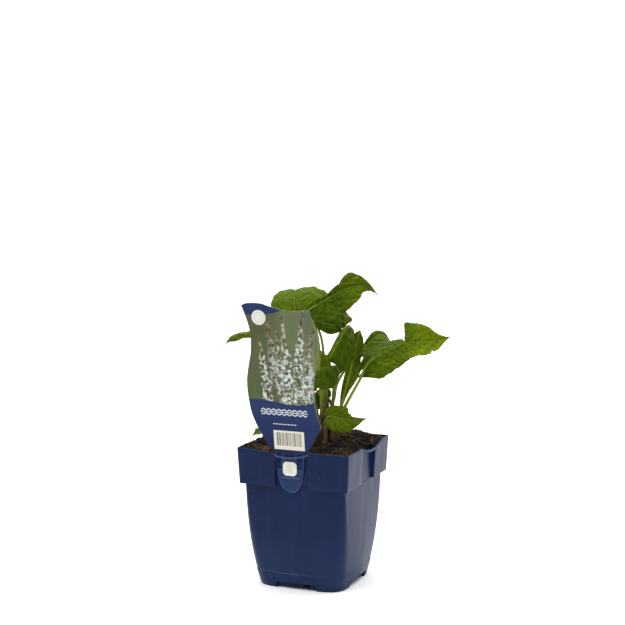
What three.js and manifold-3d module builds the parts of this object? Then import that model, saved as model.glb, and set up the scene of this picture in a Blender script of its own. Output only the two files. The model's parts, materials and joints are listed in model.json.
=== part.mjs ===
// A young white-flowering mountain fleece in a square nursery pot, with its hanging plant label.
// Millimetres, +Z up. The pot is drawn round its own axis, with its label side facing -Y.
import * as THREE from "three";
import { mergeVertices } from "three/addons/utils/BufferGeometryUtils.js";
import Module from "manifold-3d";

const wasm = await Module();
wasm.setup();

// Pot
const POT_HEIGHT = 132;
const RIM_HALF = 55.5;
const BAND_HALF = 53.8;
const BAND_BOTTOM = 98;
const BODY_TOP_HALF = 49.9;
const BODY_FOOT_HALF = 42.4;
const BODY_SWELL = 2.6;
const BODY_LEVELS = [30, 46, 62, 78, 90];
const FOOT_BOW = 1.8;
const TOP_BOW = 0.4;
const FOOT_CORNER = 18;
const TOP_CORNER = 3.5;
const CORNER_EASE = 0.9;
const BAND_CORNER = 2.4;
const LEAST_CORNER = 0.8;
const BAND_STEP = 0.8;
const WALL = 1.4;
const SEAM_Z = 15;
const SEAM_STEP = 0.35;
const FLOOR_UNDERSIDE = 6;
const FLOOR_TOP = 7.4;
const FLOOR_CURVE_TOP = 14;
const FOOT_WALL = 1.6;
const NOTCH_HALF = 20;
const SKIRT_FACE = 42;
const SKIRT_BOTTOM = 1;
const SKIRT_SLOT = [6.5, 12];
const SKIRT_STEP = 0.4;
const SKIRT_STEP_END = -7;
const JOIN = 0.6;
const DRAIN_RADIUS = 3.2;
const DRAIN_OFFSET = 24;
const SIDE_DRAIN_OFFSET = 30;

// Recess for a label in the middle of each side, with its lip bar across the rim
const RECESS_HALF = 16.6;
const RECESS_FACE = 51;
const RECESS_TOP = 126;
const BAR_SAG = 3.6;
const BAR_BULGE = 0.6;
const BAR_HEIGHT = 2.2;
const BAR_DEPTH = 1.3;
const BAR_INSET = 0.1;

// Label
const LABEL_THICKNESS = 0.6;
const LABEL_LEAN = 8;
const TONGUE_LEAN = 1.6;
const HANG_Z = 132.4;
const HANG_Y = -53.1;
const LABEL_FOOT = [[-16.2, 0], [-15.4, -5], [-12, -6.2], [-3, -6.8], [5, -5.6], [12, -3.6], [14.4, -1.6]];

// Soil
const SOIL_EDGE = 127.5;
const SOIL_BACK = 5.8;
const SOIL_BACK_RISE = [5, 45];
const SOIL_RIGHT_FALL = 0.55;
const SOIL_RIGHT_SPAN = [22, 46];
const SOIL_LEFT = 4;
const SOIL_LEFT_RISE = [24, 50];
const SOIL_LEFT_END = [20, 46];
const SOIL_LUMP = 0.6;
const SOIL_RIPPLE = 0.4;
const SOIL_MOUND = 5.5;
const MOUND_SPREAD = 30;
const SLUMP_SPREAD = 14;
const RECESS_SLUMP = 3.5;
const CLEARANCE = 0.35;

// Crown
const CROWN = [8, 3];
const HEART_RADIUS = 2.6;
const HEART_HOLE_RADIUS = 3.1;
const HEART_Z = 130;

// Leaves
const BLADE = 0.7;
const LEAF_ROWS = 10;
const LEAF_COLUMNS = 6;
const TIP_HALF = 0.4;
const WIDEST_AT = 0.26;
const ROOT_LEAD = 0.1;
const ROOT_ROUND = 0.63;
const TIP_TAPER = 1.3;
const LOBE_END = 0.3;
const PETIOLE_FOOT = 1.4;
const PETIOLE_TOP = 1.2;

const LOOKS = {
  pot: { color: 0x1f2f5c, roughness: 0.45, metalness: 0 },
  label: { color: 0x2f3f72, roughness: 0.35, metalness: 0 },
  soil: { color: 0x2b1d12, roughness: 1, metalness: 0 },
  stalk: { color: 0x7a5a36, roughness: 0.9, metalness: 0 },
  leaf: { color: 0x4c7a17, roughness: 0.5, metalness: 0 },
};

// How far a cutting block runs past the solid that it cuts
const PAST = 5;

const radians = THREE.MathUtils.degToRad;
const lerp = THREE.MathUtils.lerp;
const smoothstep = THREE.MathUtils.smoothstep;

// Solids and meshes

function solidOf(geometry) {
  const bare = geometry.clone();
  bare.deleteAttribute("normal");
  bare.deleteAttribute("uv");
  const merged = mergeVertices(bare, 1e-4);
  return new wasm.Manifold(
    new wasm.Mesh({
      numProp: 3,
      vertProperties: merged.attributes.position.array,
      triVerts: new Uint32Array(merged.index.array),
    }),
  );
}

function meshOf(name, solid, look) {
  const made = solid.getMesh();
  const geometry = new THREE.BufferGeometry();
  geometry.setAttribute("position", new THREE.BufferAttribute(made.vertProperties, 3));
  geometry.setIndex(new THREE.BufferAttribute(made.triVerts, 1));
  geometry.computeVertexNormals();
  const mesh = new THREE.Mesh(geometry, new THREE.MeshStandardMaterial(look));
  mesh.name = name;
  return mesh;
}

function geometryOf(points, index) {
  const geometry = new THREE.BufferGeometry().setFromPoints(points);
  geometry.setIndex(index);
  return geometry;
}

// A closed skin over rings of points that run counter-clockwise round the way they advance.
function loft(rings) {
  const count = rings[0].length;
  const points = rings.flat();
  const index = [];
  for (let i = 0; i < rings.length - 1; i++) {
    for (let j = 0; j < count; j++) {
      const a = i * count + j;
      const b = i * count + ((j + 1) % count);
      index.push(a, b, b + count, a, b + count, a + count);
    }
  }
  for (const [ring, first, turn] of [
    [rings[0], 0, -1],
    [rings.at(-1), (rings.length - 1) * count, 1],
  ]) {
    const middle = points.length;
    points.push(ring.reduce((sum, p) => sum.add(p), new THREE.Vector3()).divideScalar(count));
    for (let j = 0; j < count; j++) {
      const a = first + j;
      const b = first + ((j + 1) % count);
      index.push(middle, turn > 0 ? a : b, turn > 0 ? b : a);
    }
  }
  return geometryOf(points, index);
}

// A closed sheet between two grids of points, both split into triangles along the same diagonals.
function sheet(upper, lower) {
  const rows = upper.length;
  const columns = upper[0].length;
  const index = [];
  const at = (side, i, j) => side * rows * columns + i * columns + j;
  const quad = (a, b, c, d) => index.push(a, b, c, a, c, d);
  for (let i = 0; i < rows - 1; i++) {
    for (let j = 0; j < columns - 1; j++) {
      quad(at(0, i, j), at(0, i, j + 1), at(0, i + 1, j + 1), at(0, i + 1, j));
      quad(at(1, i, j), at(1, i + 1, j), at(1, i + 1, j + 1), at(1, i, j + 1));
    }
    const last = columns - 1;
    quad(at(0, i, 0), at(0, i + 1, 0), at(1, i + 1, 0), at(1, i, 0));
    quad(at(0, i + 1, last), at(0, i, last), at(1, i, last), at(1, i + 1, last));
  }
  for (let j = 0; j < columns - 1; j++) {
    const last = rows - 1;
    quad(at(0, 0, j + 1), at(0, 0, j), at(1, 0, j), at(1, 0, j + 1));
    quad(at(0, last, j), at(0, last, j + 1), at(1, last, j + 1), at(1, last, j));
  }
  return geometryOf([...upper.flat(), ...lower.flat()], index);
}

// A round rod along a curve, its radius running evenly from one end to the other.
function rod(curve, startRadius, endRadius, steps, sides = 5) {
  const frames = curve.computeFrenetFrames(steps, false);
  const rings = [];
  for (let i = 0; i <= steps; i++) {
    const middle = curve.getPointAt(i / steps);
    const radius = lerp(startRadius, endRadius, i / steps);
    const ring = [];
    for (let j = 0; j < sides; j++) {
      const angle = (2 * Math.PI * j) / sides;
      ring.push(
        middle
          .clone()
          .addScaledVector(frames.normals[i], radius * Math.cos(angle))
          .addScaledVector(frames.binormals[i], radius * Math.sin(angle)),
      );
    }
    rings.push(ring);
  }
  return solidOf(loft(rings));
}

function block([x0, x1], [y0, y1], [z0, z1]) {
  const box = new THREE.BoxGeometry(x1 - x0, y1 - y0, z1 - z0);
  box.translate((x0 + x1) / 2, (y0 + y1) / 2, (z0 + z1) / 2);
  return solidOf(box);
}

const curveThrough = (points) =>
  new THREE.CatmullRomCurve3(
    points.map((p) => new THREE.Vector3(...p)),
    false,
    "centripetal",
  );

// The same solid on all four sides of the pot
function onFourSides(solid) {
  return [90, 180, 270].reduce((all, turn) => all.add(solid.rotate([0, 0, turn])), solid);
}

// Pot

// One level of the pot: a square with round corners, its sides bowed a little outwards.
function potRing(z, half, radius, bow) {
  const sideSteps = 4;
  const cornerSteps = 4;
  const flat = half - radius;
  const side = [];
  for (let i = 0; i <= sideSteps; i++) {
    const x = lerp(-flat, flat, i / sideSteps);
    side.push([x, -half - bow * (1 - (x / flat) ** 2)]);
  }
  for (let i = 1; i < cornerSteps; i++) {
    const angle = (Math.PI / 2) * (i / cornerSteps - 1);
    side.push([flat + radius * Math.cos(angle), -flat + radius * Math.sin(angle)]);
  }
  const ring = [];
  for (let k = 0; k < 4; k++) {
    const turn = (Math.PI / 2) * k;
    for (const [x, y] of side) {
      ring.push(new THREE.Vector3(x, y, z).applyAxisAngle(new THREE.Vector3(0, 0, 1), turn));
    }
  }
  return ring;
}

// Share of the way up the body, from its foot to the band
const bodyShare = (z) => Math.min(z / BAND_BOTTOM, 1);
const bodyHalf = (z) => lerp(BODY_FOOT_HALF, BODY_TOP_HALF, 1 - (1 - bodyShare(z)) ** BODY_SWELL);
const bodyCorner = (z) => lerp(FOOT_CORNER, TOP_CORNER, bodyShare(z) ** CORNER_EASE);
const bodyBow = (z) => lerp(FOOT_BOW, TOP_BOW, bodyShare(z));

function bodyRing(z, inset) {
  const below = z < SEAM_Z && inset === 0 ? SEAM_STEP : 0;
  const corner = Math.max(bodyCorner(z) - inset, LEAST_CORNER);
  return potRing(z, bodyHalf(z) - inset + below, corner, bodyBow(z));
}

function bandRing(z, inset) {
  const half = lerp(BAND_HALF, RIM_HALF, (z - BAND_BOTTOM) / (POT_HEIGHT - BAND_BOTTOM));
  return potRing(z, half - inset, Math.max(BAND_CORNER - inset, LEAST_CORNER), 0);
}

// The room inside the pot, shrunk by a clearance and reaching up to a level over the rim.
function potRoom(bottom, gap, top) {
  const inset = WALL + gap;
  const rings = [
    bodyRing(bottom, inset),
    bodyRing(FLOOR_CURVE_TOP, inset),
    ...BODY_LEVELS.map((z) => bodyRing(z, inset)),
    bodyRing(BAND_BOTTOM + BAND_STEP + gap, inset),
    bandRing(BAND_BOTTOM + 2 * BAND_STEP + gap, inset),
    bandRing(top, inset),
  ];
  const recess = block(
    [-RECESS_HALF - WALL - gap, RECESS_HALF + WALL + gap],
    [-RIM_HALF - PAST, -RECESS_FACE + WALL + gap],
    [BAND_BOTTOM - PAST, top + PAST],
  );
  return solidOf(loft(rings)).subtract(onFourSides(recess));
}

// The thin bar that bridges a recess at the rim, hanging in a shallow smile.
function lipBar() {
  const steps = 8;
  const rings = [];
  for (let i = 0; i <= steps; i++) {
    const q = lerp(-1, 1, i / steps);
    const x = q * (RECESS_HALF + WALL / 2);
    const top = POT_HEIGHT - BAR_INSET - BAR_SAG * (1 - q * q);
    const front = -RIM_HALF + BAR_INSET - BAR_BULGE * (1 - q * q);
    rings.push([
      new THREE.Vector3(x, front, top - BAR_HEIGHT),
      new THREE.Vector3(x, front + BAR_DEPTH, top - BAR_HEIGHT),
      new THREE.Vector3(x, front + BAR_DEPTH, top),
      new THREE.Vector3(x, front, top),
    ]);
  }
  return solidOf(loft(rings));
}

// The low skirt behind each foot notch, in two lengths with an open slot between them.
function skirt() {
  const [slotStart, slotEnd] = SKIRT_SLOT;
  const reach = NOTCH_HALF + 2;
  const height = [SKIRT_BOTTOM, FLOOR_UNDERSIDE + JOIN];
  const inner = -SKIRT_FACE + WALL;
  const long = block([-reach, slotStart], [-SKIRT_FACE, inner], height);
  const step = block([-reach, SKIRT_STEP_END], [-SKIRT_FACE - SKIRT_STEP, inner], height);
  const short = block([slotEnd, reach], [-SKIRT_FACE, inner], height);
  return long.add(step).add(short);
}

function pot() {
  const outer = solidOf(
    loft([
      bodyRing(0, 0),
      bodyRing(SEAM_Z / 3, 0),
      bodyRing(SEAM_Z - SEAM_STEP, 0),
      bodyRing(SEAM_Z, 0),
      ...BODY_LEVELS.map((z) => bodyRing(z, 0)),
      bodyRing(BAND_BOTTOM - BAND_STEP, 0),
      bandRing(BAND_BOTTOM, 0),
      bandRing(POT_HEIGHT, 0),
    ]),
  );
  const recess = block(
    [-RECESS_HALF, RECESS_HALF],
    [-RIM_HALF - PAST, -RECESS_FACE],
    [BAND_BOTTOM - PAST, POT_HEIGHT + PAST],
  );
  const recessTop = block(
    [-RECESS_HALF, RECESS_HALF],
    [-RECESS_FACE - WALL, -RECESS_FACE + 2 * WALL],
    [RECESS_TOP, POT_HEIGHT + PAST],
  );
  const footRing = bodyRing(0, FOOT_WALL).map((p) => p.setZ(-PAST));
  const underside = solidOf(loft([footRing, bodyRing(FLOOR_UNDERSIDE, FOOT_WALL)]));
  const notch = block(
    [-NOTCH_HALF, NOTCH_HALF],
    [-BODY_TOP_HALF, -SKIRT_FACE - JOIN],
    [-PAST, FLOOR_UNDERSIDE],
  );
  const drain = new THREE.CylinderGeometry(DRAIN_RADIUS, DRAIN_RADIUS, PAST, 10).rotateX(Math.PI / 2);
  const drainAt = (x, y) => solidOf(drain.clone().translate(x, y, FLOOR_TOP));
  const sideDrain = drainAt(0, -SIDE_DRAIN_OFFSET);
  const cornerDrain = drainAt(DRAIN_OFFSET, -DRAIN_OFFSET);
  return outer
    .subtract(onFourSides(recess))
    .subtract(potRoom(FLOOR_TOP, 0, POT_HEIGHT + PAST))
    .subtract(onFourSides(recessTop))
    .subtract(underside)
    .subtract(onFourSides(notch))
    .add(onFourSides(skirt()))
    .add(onFourSides(lipBar()))
    .subtract(onFourSides(sideDrain.add(cornerDrain)))
    .subtract(drainAt(0, 0));
}

// Label: a sheet of plastic with wavy sides, held by a tongue behind the lip bar

function labelOutline() {
  const shape = new THREE.Shape();
  const spline = (points) => shape.splineThru(points.map(([x, y]) => new THREE.Vector2(x, y)));
  shape.moveTo(-20.9, 0);
  for (const [x, y] of LABEL_FOOT) shape.lineTo(x, y);
  shape.lineTo(29.9, 24.4);
  spline([
    [25.9, 38], [24.7, 48], [24.7, 59.3], [25.6, 69.5], [28.5, 82.9], [30.5, 95], [30.8, 105],
    [29.3, 116], [23.6, 134.1],
  ]);
  spline([
    [14.1, 132.9], [5.7, 132.3], [-0.6, 132.7], [-7.9, 134], [-15.2, 136.1], [-22.5, 138.1],
    [-30, 138.4], [-37.6, 137.7], [-42, 135.7],
  ]);
  spline([
    [-38.4, 125.8], [-35.4, 114.8], [-34.5, 103.7], [-35.6, 91.4], [-38.1, 81], [-40.6, 68.5],
    [-41.2, 58.1], [-40.2, 45.7], [-38.3, 34.4], [-33.6, 22.1], [-24.9, 6],
  ]);
  shape.closePath();
  return shape;
}

function tongueOutline() {
  const shape = new THREE.Shape();
  shape.moveTo(-16.6, 2);
  shape.lineTo(-16.4, -13);
  shape.bezierCurveTo(-15.6, -27, -11, -38.9, -1, -39.2);
  shape.bezierCurveTo(7.6, -39.2, 10.8, -26, 11, -13);
  shape.lineTo(11.8, 2);
  shape.closePath();
  for (const [x0, x1, y0, y1] of [
    [-15.2, -10.9, -17.4, -7.8],
    [4.1, 9.7, -16.9, -6.7],
  ]) {
    const window = new THREE.Path();
    window.moveTo(x0, y0);
    window.lineTo(x0, y1);
    window.lineTo(x1, y1);
    window.lineTo(x1, y0);
    window.closePath();
    shape.holes.push(window);
  }
  return shape;
}

// A flat outline stood up on the pot's rim line, leaning outwards by some degrees.
function leaning(shape, degrees, curveSegments) {
  const plate = new THREE.ExtrudeGeometry(shape, {
    depth: LABEL_THICKNESS,
    bevelEnabled: false,
    curveSegments,
  });
  plate.translate(0, 0, -LABEL_THICKNESS / 2);
  plate.rotateX(Math.PI / 2 + radians(degrees));
  plate.translate(0, HANG_Y, HANG_Z);
  return solidOf(plate);
}

function label() {
  return leaning(labelOutline(), LABEL_LEAN, 2).add(leaning(tongueOutline(), TONGUE_LEAN, 6));
}

// Soil

function soilHeight(x, y) {
  const reach = Math.hypot(x - CROWN[0], y - CROWN[1]);
  const mound = SOIL_MOUND * Math.exp(-((reach / MOUND_SPREAD) ** 2));
  const lower = 1 - SOIL_RIGHT_FALL * smoothstep(x, ...SOIL_RIGHT_SPAN);
  const back = SOIL_BACK * smoothstep(y, ...SOIL_BACK_RISE) * lower;
  const left = SOIL_LEFT * smoothstep(-x, ...SOIL_LEFT_RISE) * (1 - smoothstep(y, ...SOIL_LEFT_END));
  const nearSide = (out) => smoothstep(Math.abs(out), RECESS_FACE - 11, RECESS_FACE + 1);
  const slump = (along, out) => Math.exp(-((along / SLUMP_SPREAD) ** 2)) * nearSide(out);
  const bumps = SOIL_LUMP * Math.sin(x * 0.31 + 1.3) * Math.cos(y * 0.27);
  const ripples = SOIL_RIPPLE * Math.sin(x * 0.19 - y * 0.43);
  const slumped = RECESS_SLUMP * Math.max(slump(x, y), x > 0 ? slump(y, x) : 0);
  return SOIL_EDGE + mound + Math.max(back, left) + bumps + ripples - slumped;
}

// Everything below the lumpy surface of the soil
function belowSurface() {
  const cells = 14;
  const reach = RIM_HALF + PAST;
  const grid = (height) =>
    Array.from({ length: cells + 1 }, (_, i) =>
      Array.from({ length: cells + 1 }, (_, j) => {
        const x = lerp(-reach, reach, j / cells);
        const y = lerp(-reach, reach, i / cells);
        return new THREE.Vector3(x, y, height(x, y));
      }),
    );
  return solidOf(sheet(grid(soilHeight), grid(() => 0)));
}

// Leaves

// Value at t of a number, or of a list of [t, value] pairs joined by straight lines.
function track(values, t) {
  if (typeof values === "number") return values;
  const after = values.findIndex(([at]) => at >= t);
  if (after === 0) return values[0][1];
  if (after < 0) return values.at(-1)[1];
  const [t0, v0] = values[after - 1];
  const [t1, v1] = values[after];
  return lerp(v0, v1, (t - t0) / (t1 - t0));
}

// Half the width of a heart-based, long-pointed blade, as a share of its widest half.
function outline(t) {
  const shoulder = 1 - 0.45 * Math.max(0, 1 - t / 0.12) ** 2;
  const root = ((t + ROOT_LEAD) / (WIDEST_AT + ROOT_LEAD)) ** ROOT_ROUND;
  const tip = ((1 - t) / (1 - WIDEST_AT)) ** TIP_TAPER;
  return shoulder * root * tip;
}

// How far a unit strip goes out and up when it starts at one slope and turns evenly as it goes.
function bend(start, turn, length) {
  const rate = Math.abs(turn) < 1e-3 ? 1e-3 : turn;
  const out = (Math.sin(start + rate * length) - Math.sin(start)) / rate;
  const rise = (Math.cos(start) - Math.cos(start + rate * length)) / rate;
  return [out, rise];
}

// A half of the blade: fold and curl are degrees up from the midrib, cuts are notches in the margin.
const HALF = { spread: 1, fold: 12, curl: 0, wave: 0.8, waves: 3, phase: 0, cuts: [] };

// Point of a blade at t along its midrib and s across it, from -1 on the left to 1 on the right.
function bladePoint(leaf, rib, t, s) {
  const half = { ...HALF, ...leaf.both, ...(s < 0 ? leaf.left : leaf.right) };
  const across = Math.abs(s);
  const along = rib.getTangentAt(t);
  const up = new THREE.Vector3(...leaf.up).lerp(new THREE.Vector3(...(leaf.tipUp ?? leaf.up)), t);
  up.addScaledVector(along, -up.dot(along)).normalize();
  const side = along.clone().cross(up).multiplyScalar(Math.sign(s));
  let width = leaf.half * outline(t) * track(half.spread, t);
  for (const [at, reach, depth] of half.cuts) {
    width *= 1 - depth * Math.max(0, 1 - Math.abs(t - at) / reach);
  }
  width = Math.max(width, TIP_HALF);
  const [out, rise] = bend(radians(track(half.fold, t)), radians(half.curl), across);
  const wave = half.wave * Math.sin(2 * Math.PI * (half.waves * t + half.phase)) * across ** 2;
  const lobe = leaf.lobe * Math.max(0, 1 - t / LOBE_END) ** 2 * (1 - (1 - across) ** 2);
  return rib
    .getPointAt(t)
    .addScaledVector(side, width * out)
    .addScaledVector(up, width * rise + wave * Math.min(1, width / 8))
    .addScaledVector(along, -lobe);
}

// Way that the upper face looks at a point of the blade
function bladeNormal(leaf, rib, t, s) {
  const step = 0.02;
  const ahead = bladePoint(leaf, rib, Math.min(t + step, 1), s);
  ahead.sub(bladePoint(leaf, rib, Math.max(t - step, 0), s));
  const across = bladePoint(leaf, rib, t, Math.min(s + step, 1));
  across.sub(bladePoint(leaf, rib, t, Math.max(s - step, -1)));
  return across.cross(ahead).normalize();
}

function blade(leaf, rib) {
  const stations = new Set();
  for (let i = 0; i <= LEAF_ROWS; i++) stations.add((i / LEAF_ROWS) ** 1.3);
  for (const half of [leaf.left, leaf.right]) {
    for (const [at, reach] of half?.cuts ?? []) {
      for (const t of [at - reach, at, at + reach]) stations.add(t);
    }
  }
  const sorted = [...stations].sort((a, b) => a - b);
  const rows = sorted.filter((t, i) => i === 0 || t - sorted[i - 1] > 0.006);
  const face = (lift) =>
    rows.map((t) =>
      Array.from({ length: LEAF_COLUMNS + 1 }, (_, j) => {
        const s = lerp(-1, 1, j / LEAF_COLUMNS);
        return bladePoint(leaf, rib, t, s).addScaledVector(bladeNormal(leaf, rib, t, s), lift);
      }),
    );
  return solidOf(sheet(face(BLADE / 2), face(-BLADE / 2)));
}

function petioleCurve(leaf) {
  return curveThrough([...leaf.stem, ...leaf.rib.slice(0, 2)]);
}

function leafSolid(leaf) {
  const rib = curveThrough(leaf.rib);
  const top = leaf.stalkTop ?? PETIOLE_TOP;
  return blade(leaf, rib).add(rod(petioleCurve(leaf), PETIOLE_FOOT, top, leaf.stem.length * 2));
}

// The plain hole in the soil that a leaf stalk stands in
function stalkHole(leaf) {
  const [x, y, z] = leaf.stem[0];
  const path = curveThrough([[x, y, z - CLEARANCE], ...leaf.stem.slice(0, 3)]);
  return rod(path, PETIOLE_FOOT + CLEARANCE, PETIOLE_FOOT + CLEARANCE, 6, 7);
}

const LEAVES = [
  {
    name: "leaf_back_arched",
    stem: [[2, 9, 124], [1, 9, 145], [-3, 9, 168], [-12, 12, 198], [-20, 16, 224]],
    rib: [
      [-24, 18, 236], [-29, 23, 250], [-33, 29, 261], [-36, 37, 268], [-39, 46, 270], [-43, 57, 267],
      [-47, 68, 259], [-50, 76, 249],
    ],
    up: [0.3, -0.85, 0.4],
    tipUp: [0, 0.3, 1],
    half: 27,
    lobe: 8,
    left: { fold: -2, curl: -20, spread: [[0, 1], [0.4, 0.83], [0.6, 0.85], [1, 0.9]], phase: 0.2 },
    right: {
      fold: 20,
      curl: -20,
      spread: [[0, 1], [0.3, 1.2], [0.5, 1.2], [0.65, 1], [0.8, 1.25], [0.9, 1.7], [1, 1.5]],
      phase: 0.6,
    },
  },
  {
    name: "leaf_top",
    stem: [[3, 4.5, 124], [5, 5, 161], [3, 6, 199], [1, 8, 222], [-3, 8, 240], [-7, 5, 250]],
    rib: [
      [-7, 3, 255], [2, 4, 262], [13, 6, 269], [28, 10, 277], [40, 18, 280], [47, 22, 277.5],
      [54, 25, 271],
    ],
    up: [0.3, -0.85, 0.35],
    half: 20,
    lobe: 6,
    left: {
      fold: 8,
      curl: -8,
      spread: [
        [0, 0.35], [0.3, 0.16], [0.5, 0.42], [0.6, 0.95], [0.68, 1.25], [0.78, 0.9], [0.9, 0.6],
        [1, 0.5],
      ],
    },
    right: {
      fold: 6,
      curl: 12,
      spread: [[0, 0.8], [0.2, 1.05], [0.5, 1.24], [0.68, 1.3], [0.85, 0.95], [1, 0.8]],
      phase: 0.3,
    },
  },
  {
    name: "leaf_under_top",
    stem: [[6, 13.5, 124], [5, 13, 161], [3, 17, 198], [0, 18, 227], [-5, 16, 243]],
    rib: [[-6, 15, 248], [2, 20, 252], [9, 27, 255], [15, 35, 254], [17, 43, 249], [17, 50, 241]],
    up: [-0.1, -0.2, 1],
    half: 19,
    lobe: 4,
    left: { fold: -10, curl: -20, spread: 0.4 },
    right: { fold: -50, curl: -12, spread: [[0, 1.2], [0.3, 1.2], [0.7, 1.35], [1, 1.3]] },
  },
  {
    name: "leaf_young_upright",
    stem: [[7, 9, 124], [7.5, 9.5, 150], [8, 12, 176]],
    rib: [[7, 14, 187], [6, 14, 196], [5, 14, 204], [4, 13.5, 211], [2, 12.5, 216]],
    up: [0.3, -0.9, 0.1],
    half: 13,
    lobe: 2,
    left: { fold: 10, spread: 0.45 },
    right: { fold: 8, curl: -10, spread: [[0, 0.3], [0.45, 0.45], [0.7, 0.8], [1, 1]] },
  },
  {
    name: "leaf_hood",
    stem: [[11.5, 9, 124], [12, 10.5, 148], [13, 14, 166], [15, 20, 184], [19, 26, 195]],
    rib: [[22, 27, 200], [18, 18, 203], [13, 6, 204], [7, -6, 201], [0, -15, 196], [-8, -22, 187]],
    up: [0, 0, 1],
    half: 22,
    lobe: 4,
    left: { fold: -50, curl: -25, spread: [[0, 0.15], [0.2, 0.4], [0.35, 0.9], [0.6, 1.2], [1, 1.3]] },
    right: { fold: -50, curl: -20, spread: [[0, 0.2], [0.5, 0.2], [0.7, 0.38], [1, 0.38]] },
  },
  {
    name: "leaf_drooping",
    stem: [[10, 13.5, 124], [11, 17, 155], [12, 25, 194], [20, 29, 223], [26, 25, 238]],
    rib: [[27, 16, 241], [26, 6, 238], [23, -2, 229], [19, -7, 219], [14, -10, 213]],
    up: [0, -0.5, 0.9],
    tipUp: [0.2, -0.9, 0.45],
    half: 12,
    lobe: 2,
    left: {
      fold: -8,
      curl: -15,
      spread: [[0, 0.6], [0.35, 1.3], [0.6, 2.3], [0.8, 3.9], [0.93, 6.4], [1, 6]],
    },
    right: { fold: -25, curl: -20, spread: [[0, 0.6], [0.4, 0.2], [0.8, 0.4], [1, 1]] },
  },
  {
    name: "leaf_rolled",
    stem: [[15, 6.5, 124], [17, 6, 147], [20, 7, 158]],
    rib: [
      [23, 10, 167], [27, 11, 181], [31, 12, 196], [34, 12, 211], [37, 13, 223], [39, 13, 233],
      [42, 11, 239],
    ],
    up: [-0.38, 0.92, 0],
    half: 12,
    lobe: 1,
    both: { wave: 0.4 },
    left: {
      fold: 25,
      curl: 35,
      spread: [[0, 0.25], [0.2, 0.5], [0.45, 1.35], [0.6, 1.3], [0.75, 1.8], [0.88, 3.3], [1, 3]],
    },
    right: {
      fold: 25,
      curl: 35,
      spread: [[0, 0.25], [0.2, 0.45], [0.5, 0.6], [0.75, 1.4], [0.88, 3.2], [1, 3]],
    },
  },
  {
    name: "leaf_right_torn",
    stem: [[16, 1.5, 124], [18, 3, 146], [29, 7, 167], [38, 10, 185], [43, 12, 195]],
    rib: [
      [47, 13, 204], [54, 14, 212], [65, 16, 219], [78, 18, 226], [86, 20, 228], [98, 24, 229],
      [111, 31, 230], [122, 37, 233],
    ],
    up: [0.25, -0.85, 0.45],
    half: 22,
    lobe: 10,
    stalkTop: 1.6,
    left: {
      fold: [[0, -45], [0.47, -45], [0.53, 4], [1, 8]],
      spread: [
        [0, 0.7], [0.1, 0.95], [0.3, 0.75], [0.48, 0.45], [0.525, 1.12], [0.62, 1.28], [0.76, 1.6],
        [0.85, 1.6], [1, 1.2],
      ],
      cuts: [[0.5, 0.025, 0.9]],
    },
    right: {
      fold: 4,
      curl: 8,
      spread: [[0, 0.5], [0.12, 1], [0.3, 1.08], [0.62, 1.04], [0.84, 1.7], [1, 1.5]],
      cuts: [[0.78, 0.02, 0.2]],
      phase: 0.4,
    },
  },
  {
    name: "leaf_behind_right",
    stem: [[17.5, 10.5, 124], [18, 14, 152], [23, 23, 175], [27, 30, 195], [31, 33, 207]],
    rib: [[33, 35, 213], [37, 40, 220], [41, 45, 226], [45, 52, 230], [49, 60, 228], [53, 67, 221]],
    up: [-0.3, -0.6, 0.7],
    tipUp: [0.8, 0.1, 0.5],
    half: 15,
    lobe: 4,
    left: {
      fold: 30,
      curl: -10,
      spread: [[0, 0.2], [0.35, 0.25], [0.55, 0.4], [0.75, 0.4], [1, 0.3]],
    },
    right: { fold: 12, curl: -20, spread: [[0, 0.9], [0.3, 1.1], [0.6, 1.3], [0.8, 1.5], [1, 1.5]] },
  },
  {
    name: "leaf_front_low",
    stem: [[12.5, -3.5, 124], [13, -3.5, 142], [13, -4, 151]],
    rib: [[15, -4, 156], [22, -6, 158], [31, -7, 157], [42, -6, 157], [54, -2, 158]],
    up: [0.3, -0.8, 0.5],
    half: 13.5,
    lobe: 5,
    left: {
      fold: 6,
      curl: -10,
      spread: [[0, 0.85], [0.5, 0.95], [0.58, 0.75], [0.64, 0.3], [1, 0.3]],
      cuts: [[0.56, 0.05, 0.35]],
    },
    right: { fold: 6, curl: -15, spread: [[0, 0.9], [0.25, 1], [0.6, 1.35], [1, 1.2]], phase: 0.5 },
  },
  {
    name: "leaf_shaded",
    stem: [[8, 17.5, 124], [9, 19, 148], [9, 20, 164]],
    rib: [[6, 20.5, 170], [2.5, 21, 171], [-2, 20, 166], [-7, 19, 157]],
    up: [0.2, -1, 0.2],
    half: 9.5,
    lobe: 2,
  },
  {
    name: "leaf_left_long",
    stem: [[-0.5, 1, 124], [-2, 2, 150], [-10, 3, 184], [-21, 3, 212], [-32, 0, 223]],
    rib: [
      [-38, -3, 228], [-47, -7, 232], [-57, -11, 233], [-68, -16, 233], [-78, -20, 229],
      [-83, -23, 221],
    ],
    up: [0, -0.4, 1],
    tipUp: [-0.2, -0.6, 0.8],
    half: 9,
    lobe: 3,
    left: {
      fold: -20,
      curl: -30,
      spread: [[0, 0.5], [0.6, 0.7], [0.72, 1.6], [0.84, 2.1], [0.93, 1], [1, 0.5]],
    },
    right: { fold: -10, curl: -20, spread: [[0, 0.5], [0.5, 1], [1, 1]] },
  },
  {
    name: "leaf_left_low",
    stem: [[2, -3, 124], [0, -5, 141], [-10, -10, 148], [-24, -16, 149]],
    rib: [[-31, -20, 148], [-38, -24, 146], [-46, -28, 142], [-53, -31, 137]],
    up: [0, -0.4, 1],
    half: 6,
    lobe: 1,
    both: { spread: [[0, 1], [0.5, 1.2], [0.7, 1.9], [0.8, 1], [1, 0.8]] },
  },
  {
    name: "leaf_left_middle",
    stem: [[5, -3.5, 124], [4, -2, 145], [1, -1, 163], [-4, -4, 181], [-12, -8, 191]],
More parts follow.
